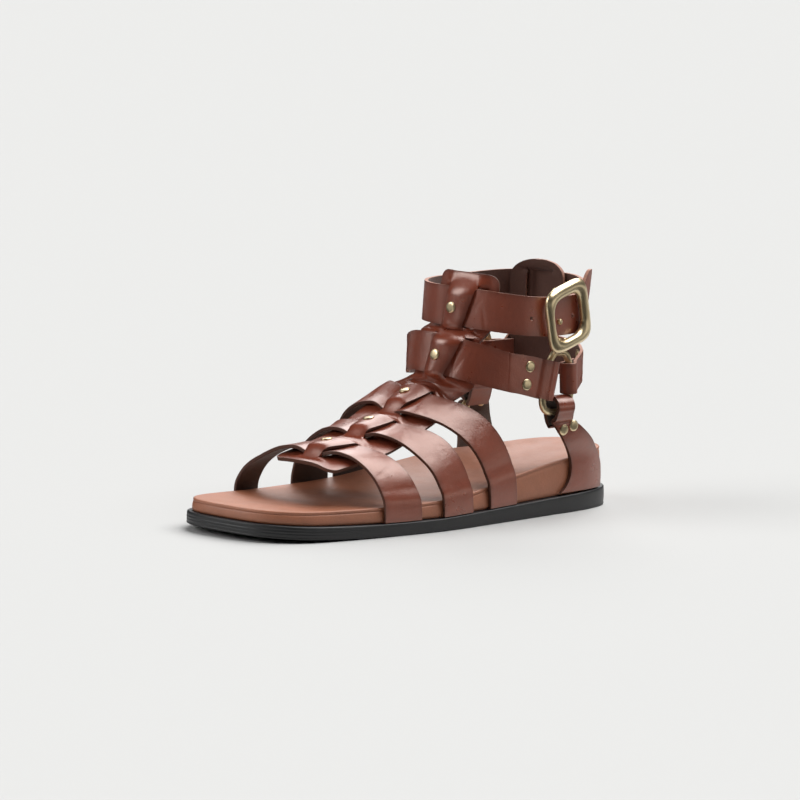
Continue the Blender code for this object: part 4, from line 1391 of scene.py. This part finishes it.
def punch(obj, holes, radius):
    """Cuts round holes through a piece, each with a centre and a direction."""
    bm = bmesh.new()
    for centre, axis in holes:
        turned(bm, ((1.0, -1.0), (1.0, 1.0)), centre, axis / np.linalg.norm(axis), radius, 1.7)
    bmesh.ops.recalc_face_normals(bm, faces=bm.faces[:])
    for face in bm.faces:
        face.material_index = 2
    tool = mesh_object("punch", bm)
    for look in obj.data.materials:
        tool.data.materials.append(look)
    cutter = obj.modifiers.new("punched holes", "BOOLEAN")
    cutter.object = tool
    cutter.solver = "EXACT"
    graph = bpy.context.evaluated_depsgraph_get()
    mesh = bpy.data.meshes.new_from_object(obj.evaluated_get(graph))
    obj.modifiers.clear()
    obj.data = mesh
    bpy.data.objects.remove(tool)


class SANDAL_OT_ankle_straps(bpy.types.Operator):
    """Adds the two ankle straps, the back strap and the back tab"""

    bl_idname = "sandal.ankle_straps"
    bl_label = "Ankle straps"

    def execute(self, context):
        # The ankle straps' cut edges take the pale colour with its painted highlight
        looks = strap_looks(finish_colours().ankle_edge_and_highlight, finish_colours().flesh)
        creases = {"lower_ankle_strap": LOWER_CREASES, "upper_ankle_strap": UPPER_CREASES}
        for name, edges in (
            ("lower_ankle_strap", lower_ankle_edges()),
            ("upper_ankle_strap", upper_ankle_edges()),
            ("back_strap", back_edges()),
        ):
            first, second = (smooth_line(line, 4) for line in edges)
            points = across_grid(first, second, 13)
            middle = len(points) // 2
            away = points[middle, 6] - np.array((0.0, 65.0, points[middle, 6][2]))
            if name in creases:
                front = int(np.argmax(points[:, 6, 1]))
                points = crease(points, (front, 6), np.array((0.0, 1.0, 0.0)), creases[name])
            obj = leather_sheet(name, points, (middle, 6, away), "upper", looks, sizes().leather)
            if name == "upper_ankle_strap":
                punch(obj, self.holes(), sizes().hole_radius)
        points, cut, seats = tab_panel()
        outward = (*seats[0], (0.0, -1.0, 0.0))
        leather_sheet("back_tab", points, outward, "upper", looks, sizes().leather, cut)
        return {"FINISHED"}

    @staticmethod
    def holes():
        """Centre and direction of each punched hole beside the stud."""
        line = by_length(lambda q: loop(UPPER_LOOP, q, 0.0, 0.0), np.linspace(20, 150, 131), BUCKLE_ANGLE)
        holes = []
        for ahead in HOLES:
            q = float(line(-ahead))
            centre = loop(UPPER_LOOP, q, 0.0, float(through(UPPER_RISE, 1, q)) - 0.8)
            holes.append((centre, loop(UPPER_LOOP, q, 1.0, centre[2]) - centre))
        return holes


def heel_grid(ring, edges):
    """Side strap: folded at the ring, leaning to the footbed's wall and flared at the outsole."""
    lateral = ring[0] > 0
    bar, ahead, outward, across = ring_bar(ring, 0)
    half, behind, radius, raised, widen = HEEL_FOLD_LATERAL if lateral else HEEL_FOLD_MEDIAL
    profile = fold(radius, radius + 3.0, 10.6)
    end = folded(bar - across * behind - ahead * raised, ahead, outward, across, half, profile)
    spread = np.zeros(len(profile))
    spread[:3] = widen * np.array((1.0, 0.6, 0.25))
    end = end[0], end[1] - spread[:, None] * across
    plane = ring[0] + (1.2 if lateral else -1.2)
    shares = np.linspace(0, 1, 15)
    rows = []
    for front, rear in zip(end[0][::-1], end[1][::-1]):
        rows.append([front + (rear - front) * f for f in shares])
    for front, rear, height in edges:
        row = []
        for f in shares:
            s = front + (rear - front) * f
            high = float(ease(float(rim(s, lateral)) - 1.0, 50.0, height))
            low = max(height, float(deck(s)) + 0.1)
            row.append(np.array((wall(s, lateral) * (1 - high) + plane * high, s, low)))
        rows.append(row)
    return smooth_line(rows, stage_settings().detail)


class SANDAL_OT_heel_straps(bpy.types.Operator):
    """Adds the side straps from the outsole up to the rings"""

    bl_idname = "sandal.heel_straps"
    bl_label = "Heel straps"

    def execute(self, context):
        looks = strap_looks(finish_colours().edge, finish_colours().raw)
        for name, ring, edges in (
            ("lateral", RING_LATERAL, HEEL_LATERAL_EDGES),
            ("medial", RING_MEDIAL, HEEL_MEDIAL_EDGES),
        ):
            points = heel_grid(ring, edges)
            outward = (len(points) - 8, 7, (ring[0], 0.0, 0.0))
            node = "heel_strap_" + name
            leather_sheet("side_strap_" + name, points, outward, node, looks, sizes().leather)
        return {"FINISHED"}


def wire(name, path, radius, cyclic, sides=18):
    """Round wire mesh along a path; radius is one value or one per point."""
    path = np.array(path)
    count = len(path)
    radius = np.broadcast_to(radius, count)
    ahead = np.roll(path, -1, axis=0) - np.roll(path, 1, axis=0)
    if not cyclic:
        ahead = np.gradient(path, axis=0)
    ahead /= np.linalg.norm(ahead, axis=1, keepdims=True)
    normal = np.cross(ahead[0], UP if abs(ahead[0][2]) < 0.9 else np.array((1.0, 0.0, 0.0)))
    rings = []
    for k in range(count):
        normal = normal - ahead[k] * np.dot(normal, ahead[k])
        normal /= np.linalg.norm(normal)
        other = np.cross(ahead[k], normal)
        turn = [2 * math.pi * i / sides for i in range(sides)]
        rings.append([path[k] + radius[k] * (math.cos(q) * normal + math.sin(q) * other) for q in turn])
    bm = bmesh.new()
    loops = [[bm.verts.new(world(p)) for p in ring] for ring in rings]
    join_rings(bm, loops, cyclic)
    if not cyclic:
        bm.faces.new(loops[0])
        bm.faces.new(loops[-1])
    bmesh.ops.recalc_face_normals(bm, faces=bm.faces[:])
    return mesh_object(name, bm)


class SANDAL_OT_rings(bpy.types.Operator):
    """Adds the two side rings"""

    bl_idname = "sandal.rings"
    bl_label = "Rings"

    def execute(self, context):
        for name, ring in (("lateral", RING_LATERAL), ("medial", RING_MEDIAL)):
            centre = np.array(ring[:3])
            forward, _ = frame_of(ring[3])
            path = []
            for q in np.linspace(0, 2 * math.pi, 96, endpoint=False):
                c, h = squared_turn(q, RING_ROUNDNESS)
                lean = math.tan(math.radians(RING_LEAN_FRONT if c > 0 else RING_LEAN_REAR))
                reach = RING_HALF_WIDTH - RING_HALF_HEIGHT * h * lean
                path.append(centre + reach * c * forward + RING_HALF_HEIGHT * h * UP)
            obj = wire("gold_ring_" + name, path, sizes().ring_wire, True)
            ride_in(obj, "ring_" + name, [material_gold()])
        return {"FINISHED"}


def buckle_frame():
    """Origin, forward, up and outward directions of the buckle."""
    forward, outward = frame_of(UPPER_LOOP[2])
    height = float(through(UPPER_RISE, 1, BUCKLE_ANGLE))
    centre = loop(UPPER_LOOP, BUCKLE_ANGLE, 0.0, height) + BUCKLE_AHEAD * forward
    roll = math.radians(BUCKLE_ROLL)
    along = math.cos(roll) * forward - math.sin(roll) * UP
    return centre, along, math.sin(roll) * forward + math.cos(roll) * UP, outward


# Buckle bar round the frame: angle from the front, half width, half thickness
BUCKLE_BARS = (
    (0.0, 2.6, 2.3),
    (45.0, 3.4, 2.8),
    (90.0, 3.6, 2.9),
    (135.0, 3.9, 3.0),
    (180.0, 3.2, 2.7),
    (225.0, 3.8, 2.9),
    (270.0, 3.2, 2.6),
    (315.0, 3.4, 2.7),
    (360.0, 2.6, 2.3),
)
BUCKLE_ROUNDNESS = 4.0


class SANDAL_OT_buckle(bpy.types.Operator):
    """Adds the puffy buckle frame with its bar"""

    bl_idname = "sandal.buckle"
    bl_label = "Buckle"

    def execute(self, context):
        z = sizes()
        centre, forward, up, outward = buckle_frame()
        around, sides = 128, 24
        bm = bmesh.new()
        loops = []
        for k in range(around):
            q = 2 * math.pi * k / around
            c, h = squared_turn(q, BUCKLE_ROUNDNESS)
            wide = float(through(BUCKLE_BARS, 1, math.degrees(q)))
            thick = float(through(BUCKLE_BARS, 2, math.degrees(q)))
            ring = []
            for i in range(sides):
                p = 2 * math.pi * i / sides
                out = math.cos(p) * wide
                n = BUCKLE_SET + math.sin(p) * thick
                place = centre + (z.buckle_length + out) * c * forward
                ring.append(bm.verts.new(world(place + (z.buckle_height + out) * h * up + n * outward)))
            loops.append(ring)
        join_rings(bm, loops, True)
        bmesh.ops.recalc_face_normals(bm, faces=bm.faces[:])
        obj = mesh_object("buckle_frame", bm)
        ride_in(obj, "buckle", [material_gold()])
        reach, low = z.buckle_height - 1.6, -CHAPE_SET
        leg = [(reach, 3.0), (reach, 0.0), (reach - 0.4, low + 1.5), (reach - 1.6, low)]
        bend = leg + [(-b, n) for b, n in leg[::-1]]
        points = smooth_line([centre + b * UP + n * outward for b, n in bend], 6)
        bar = wire("buckle_bar", points, CHAPE_BAR, False, 14)
        ride_in(bar, "buckle", [material_gold()])
        return {"FINISHED"}


# Rivets: sides, height of a head, way of a strap's two heads from its middle
RIVET_SIDES = 28
RIVET_HEIGHT = 0.8
RIVET_WAY = 5.0

# Stud of the buckle: radius, height, ways ahead of and below the buckle's middle
STUD = (1.7, 1.6, 4.3, 2.0)

# Profiles of a rivet's head and of its back: radius share, height share
RIVET_PROFILE = (
    (1.0, -0.6),
    (1.0, 0.35),
    (0.97, 0.5),
    (0.9, 0.6),
    (0.86, 0.72),
    (0.78, 0.86),
    (0.62, 0.94),
    (0.4, 0.98),
    (0.2, 1.0),
)
BACK_PROFILE = ((1.0, 0.0), (1.0, 0.5), (0.9, 0.8), (0.6, 1.0), (0.42, 0.75), (0.36, 0.2))


def turned(bm, profile, centre, axis, radius, height):
    """Turns a profile round an axis and closes both ends."""
    side_way = np.cross(axis, UP if abs(axis[2]) < 0.9 else np.array((1.0, 0.0, 0.0)))
    side_way /= np.linalg.norm(side_way)
    other = np.cross(axis, side_way)
    turn = [2 * math.pi * k / RIVET_SIDES for k in range(RIVET_SIDES)]
    loops = []
    for share, rise in profile:
        ring = []
        for q in turn:
            p = centre + axis * (rise * height)
            p = p + radius * share * (math.cos(q) * side_way + math.sin(q) * other)
            ring.append(bm.verts.new(world(p)))
        loops.append(ring)
    join_rings(bm, loops)
    bm.faces.new(loops[-1])
    bm.faces.new(loops[0])


def grid_outward(points, i, j, hint):
    n = grid_normals(points)[i, j]
    return n if np.dot(n, hint) > 0 else -n


class SANDAL_OT_rivets(bpy.types.Operator):
    """Adds the rivet heads, their backs inside the leather and the buckle's stud"""

    bl_idname = "sandal.rivets"
    bl_label = "Rivets"

    def execute(self, context):
        z = sizes()
        seats = self.seats()
        backs = bmesh.new()
        for node, point, normal, depth in seats:
            bm = bmesh.new()
            turned(bm, RIVET_PROFILE, point, normal, z.rivet_radius, RIVET_HEIGHT)
            bmesh.ops.recalc_face_normals(bm, faces=bm.faces[:])
            obj = mesh_object("head_" + node, bm)
            ride_in(obj, node, [material_gold()])
            turned(backs, BACK_PROFILE, point - normal * depth, -normal, z.rivet_radius, RIVET_HEIGHT)
        bmesh.ops.recalc_face_normals(backs, faces=backs.faces[:])
        obj = mesh_object("rivet_backs", backs)
        ride_in(obj, seats[0][0], [material_gold()])
        centre, forward, up, outward = buckle_frame()
        bm = bmesh.new()
        radius, height, ahead, below = STUD
        seat = centre + ahead * forward - below * up + outward * z.leather / 2
        turned(bm, RIVET_PROFILE, seat, outward, radius, height)
        bmesh.ops.recalc_face_normals(bm, faces=bm.faces[:])
        obj = mesh_object("stud_of_buckle", bm)
        ride_in(obj, "buckle_stud", [material_gold()])
        return {"FINISHED"}

    @staticmethod
    def seats():
        """Node, seat, outward direction and depth through the leather of each rivet."""
        z = sizes()
        seats = []
        detail = stage_settings().detail
        points, _, spots = spine_panel()
        for number, (i, j) in enumerate(spots):
            n = grid_outward(points, i, j, np.array((0.0, 0.6, 0.8)))
            if number < 3:
                n = n * np.array((1.0, 0.6, 1.0))
                n /= np.linalg.norm(n)
            node = "rivet_spine_%d" % (number + 1)
            seats.append((node, points[i, j] + n * z.leather / 2, n, 2 * z.leather + 0.6))
        fold_rows = len(fold(*LOWER_FOLD))
        for name, ring in (("lateral", RING_LATERAL), ("medial", RING_MEDIAL)):
            out = np.array((ring[0], 0.0, 0.0))
            for end, edges, step in (
                ("front", lower_ankle_edges(), fold_rows - 1),
                ("rear", back_edges(), fold_rows + 2),
            ):
                points = np.stack((edges[0], (edges[0] + edges[1]) / 2, edges[1]), axis=1)
                row = step if ring is RING_LATERAL else len(points) - 1 - step
                n = grid_outward(points, row, 1, out)
                across = (points[row, 0] - points[row, 2]) / z.strap_width
                for number, shift in ((1, RIVET_WAY), (2, -RIVET_WAY)):
                    node = "rivet_%s_%s_%d" % (name, end, number)
                    depth = 2 * z.leather + 0.6 if end == "front" else z.leather
                    seats.append((node, points[row, 1] + shift * across + n * z.leather / 2, n, depth))
            edges = HEEL_LATERAL_EDGES if name == "lateral" else HEEL_MEDIAL_EDGES
            points = heel_grid(ring, edges)
            for number, column, below in ((1, 3, 1), (2, 10, -1)):
                row = fold_rows * detail + below
                n = grid_outward(points, row, column, out)
                node = "rivet_%s_heel_%d" % (name, number)
                seats.append((node, points[row, column] + n * z.leather / 2, n, z.leather))
        return seats


# Camera of the photograph: direction, elevation and roll in degrees, place in the frame in millimetres
VIEW_AZIMUTH = 49.18
VIEW_ELEVATION = 7.0
VIEW_ROLL = 1.357
VIEW_PLACE = (1350.3, -1167.4, 289.3)
VIEW_AIM = (13.3, 9.9)
FRAME_WIDTH = 800.0
SENSOR = 36.0

# Half width of the floor in metres
FLOOR_HALF = 400.0

# Cards that only the shine of the sandal sees, in metres: dark ones on the floor, a pale upright one
DARK_CARDS = (("dark_card", 0.10, 3.0), ("inner_card", -3.0, -0.09))
DARK_CARD_ENDS = (-2.5, 1.2)
DARK_CARD_RISE = 0.0008
PALE_CARD_FOOT = ((0.55, 0.95), (1.05, 0.35))
PALE_CARD_HEIGHT = 0.24
PALE_CARD_GLOW = 0.9


class SANDAL_OT_stage(bpy.types.Operator):
    """Adds the pale floor, the cards, the soft light and the camera"""

    bl_idname = "sandal.stage"
    bl_label = "Stage"

    def execute(self, context):
        self.floor()
        self.cards()
        self.lights()
        self.camera(context.scene)
        return {"FINISHED"}

    @staticmethod
    def floor():
        bm = bmesh.new()
        for x, y in ((-1, -1), (1, -1), (1, 1), (-1, 1)):
            bm.verts.new((FLOOR_HALF * x, FLOOR_HALF * y, 0.0))
        bm.faces.new(bm.verts[:])
        obj = mesh_object("floor", bm)
        made, _, shader = nodes_of("pale_floor")
        tone = stage_settings().floor
        shader.inputs["Base Color"].default_value = (tone, tone, tone * 0.985, 1.0)
        shader.inputs["Roughness"].default_value = 1.0
        shader.inputs["Specular IOR Level"].default_value = 0.0
        obj.data.materials.append(made)

    @staticmethod
    def cards():
        """Dark cards beside the sandal and a pale one behind it, which only its shine sees."""
        front, rear = DARK_CARD_ENDS
        z = DARK_CARD_RISE
        cards = []
        for name, low, high in DARK_CARDS:
            cards.append((name, ((low, front, z), (high, front, z), (high, rear, z), (low, rear, z)), 0.0))
        first, second = PALE_CARD_FOOT
        high = PALE_CARD_HEIGHT
        pale = ((*first, 0.0), (*second, 0.0), (*second, high), (*first, high))
        cards.append(("pale_card", pale, PALE_CARD_GLOW))
        for name, corners, glow in cards:
            bm = bmesh.new()
            bm.faces.new([bm.verts.new(p) for p in corners])
            obj = mesh_object(name, bm)
            made, _, shader = nodes_of(name)
            shader.inputs["Base Color"].default_value = (0.01, 0.01, 0.01, 1.0)
            shader.inputs["Roughness"].default_value = 1.0
            shader.inputs["Specular IOR Level"].default_value = 0.0
            shader.inputs["Emission Color"].default_value = (1.0, 0.97, 0.92, 1.0)
            shader.inputs["Emission Strength"].default_value = glow
            obj.data.materials.append(made)
            obj.visible_camera = False
            obj.visible_diffuse = False
            obj.visible_shadow = False

    @staticmethod
    def lights():
        """Sky that is dim at the top and on the lateral side, and three broad suns."""
        stage = stage_settings()
        world_look = bpy.data.worlds.new("studio")
        bpy.context.scene.world = world_look
        world_look.use_nodes = True
        tree = world_look.node_tree
        ranges = ("From Min", "From Max", "To Min", "To Max")
        at = add(tree, "ShaderNodeTexCoord")
        apart = add(tree, "ShaderNodeSeparateXYZ")
        tree.links.new(at.outputs["Generated"], apart.inputs["Vector"])
        top = add(tree, "ShaderNodeMapRange", interpolation_type="SMOOTHSTEP")
        for name, value in zip(ranges, (0.25, 0.8, 1.0, stage.top)):
            top.inputs[name].default_value = value
        tree.links.new(apart.outputs["Z"], top.inputs["Value"])
        facing = add(tree, "ShaderNodeVectorMath", operation="DOT_PRODUCT")
        tree.links.new(at.outputs["Generated"], facing.inputs[0])
        away = math.radians(VIEW_AZIMUTH)
        facing.inputs[1].default_value = (-math.cos(away - 0.6), -math.sin(away - 0.6), 0.0)
        front = add(tree, "ShaderNodeMapRange", interpolation_type="SMOOTHSTEP")
        for name, value in zip(ranges, (-0.5, 0.5, stage.front, 1.0)):
            front.inputs[name].default_value = value
        tree.links.new(facing.outputs["Value"], front.inputs["Value"])
        both = add(tree, "ShaderNodeMath", operation="MULTIPLY")
        tree.links.new(top.outputs["Result"], both.inputs[0])
        tree.links.new(front.outputs["Result"], both.inputs[1])
        power = add(tree, "ShaderNodeMath", operation="MULTIPLY")
        tree.links.new(both.outputs[0], power.inputs[0])
        power.inputs[1].default_value = stage.sky
        tree.links.new(power.outputs[0], tree.nodes["Background"].inputs["Strength"])
        for name, strength, spread, toward in (
            ("key", stage.key, 35.0, (-0.58, 0.54, 0.61)),
            ("over", stage.over, 60.0, (0.18, 0.42, 0.89)),
            ("fill", stage.fill, 40.0, (-0.40, -0.75, 0.53)),
        ):
            data = bpy.data.lights.new(name, "SUN")
            data.energy = strength
            data.angle = math.radians(spread)
            obj = bpy.data.objects.new(name, data)
            bpy.context.scene.collection.objects.link(obj)
            obj.location = Vector(toward)
            obj.rotation_euler = Vector(toward).to_track_quat("Z", "Y").to_euler()

    @staticmethod
    def camera(scene):
        az, el, roll = (math.radians(q) for q in (VIEW_AZIMUTH, VIEW_ELEVATION, VIEW_ROLL))
        back = Vector((math.sin(az) * math.cos(el), -math.cos(az) * math.cos(el), math.sin(el)))
        flat = Vector((math.cos(az), math.sin(az), 0.0))
        high = back.cross(flat)
        right = math.cos(roll) * flat + math.sin(roll) * high
        up = -math.sin(roll) * flat + math.cos(roll) * high
        data = bpy.data.cameras.new("photo_view")
        data.sensor_width = SENSOR
        data.clip_end = 900.0
        data.lens = stage_settings().lens
        pixels = data.lens / SENSOR * FRAME_WIDTH
        back = (back + right * (VIEW_AIM[0] / pixels) + up * (VIEW_AIM[1] / pixels)).normalized()
        right = (right - back * right.dot(back)).normalized()
        up = back.cross(right)
        obj = bpy.data.objects.new("photo_view", data)
        scene.collection.objects.link(obj)
        turn = Matrix((right, up, back)).transposed().to_4x4()
        obj.matrix_world = Matrix.Translation(Vector(VIEW_PLACE) * MM) @ turn
        scene.camera = obj
        scene.view_settings.view_transform = "Standard"


PIECES = (
    SANDAL_OT_outsole,
    SANDAL_OT_footbed,
    SANDAL_OT_spine,
    SANDAL_OT_forefoot_straps,
    SANDAL_OT_ankle_straps,
    SANDAL_OT_heel_straps,
    SANDAL_OT_rings,
    SANDAL_OT_buckle,
    SANDAL_OT_rivets,
    SANDAL_OT_stage,
)


class SANDAL_PT_panel(bpy.types.Panel):
    """Lists the sizes, colours and pieces of the sandal"""

    bl_idname = "SANDAL_PT_panel"
    bl_label = "Footbed sandal"
    bl_space_type = "VIEW_3D"
    bl_region_type = "UI"
    bl_category = "Sandal"

    def draw(self, context):
        layout = self.layout
        for group in (context.scene.sandal_sizes, context.scene.sandal_finish, context.scene.sandal_stage):
            box = layout.box()
            for name in group.__annotations__:
                box.prop(group, name)
        for piece in PIECES:
            layout.operator(piece.bl_idname)


CLASSES = (SandalSizes, SandalFinish, StageSettings, *PIECES, SANDAL_PT_panel)


def register():
    for item in CLASSES:
        bpy.utils.register_class(item)
    bpy.types.Scene.sandal_sizes = PointerProperty(type=SandalSizes)
    bpy.types.Scene.sandal_finish = PointerProperty(type=SandalFinish)
    bpy.types.Scene.sandal_stage = PointerProperty(type=StageSettings)


def unregister():
    del bpy.types.Scene.sandal_stage
    del bpy.types.Scene.sandal_finish
    del bpy.types.Scene.sandal_sizes
    for item in reversed(CLASSES):
        bpy.utils.unregister_class(item)


def main():
    register()
    for piece in PIECES:
        group, name = piece.bl_idname.split(".")
        getattr(getattr(bpy.ops, group), name)()


if __name__ == "__main__":
    main()
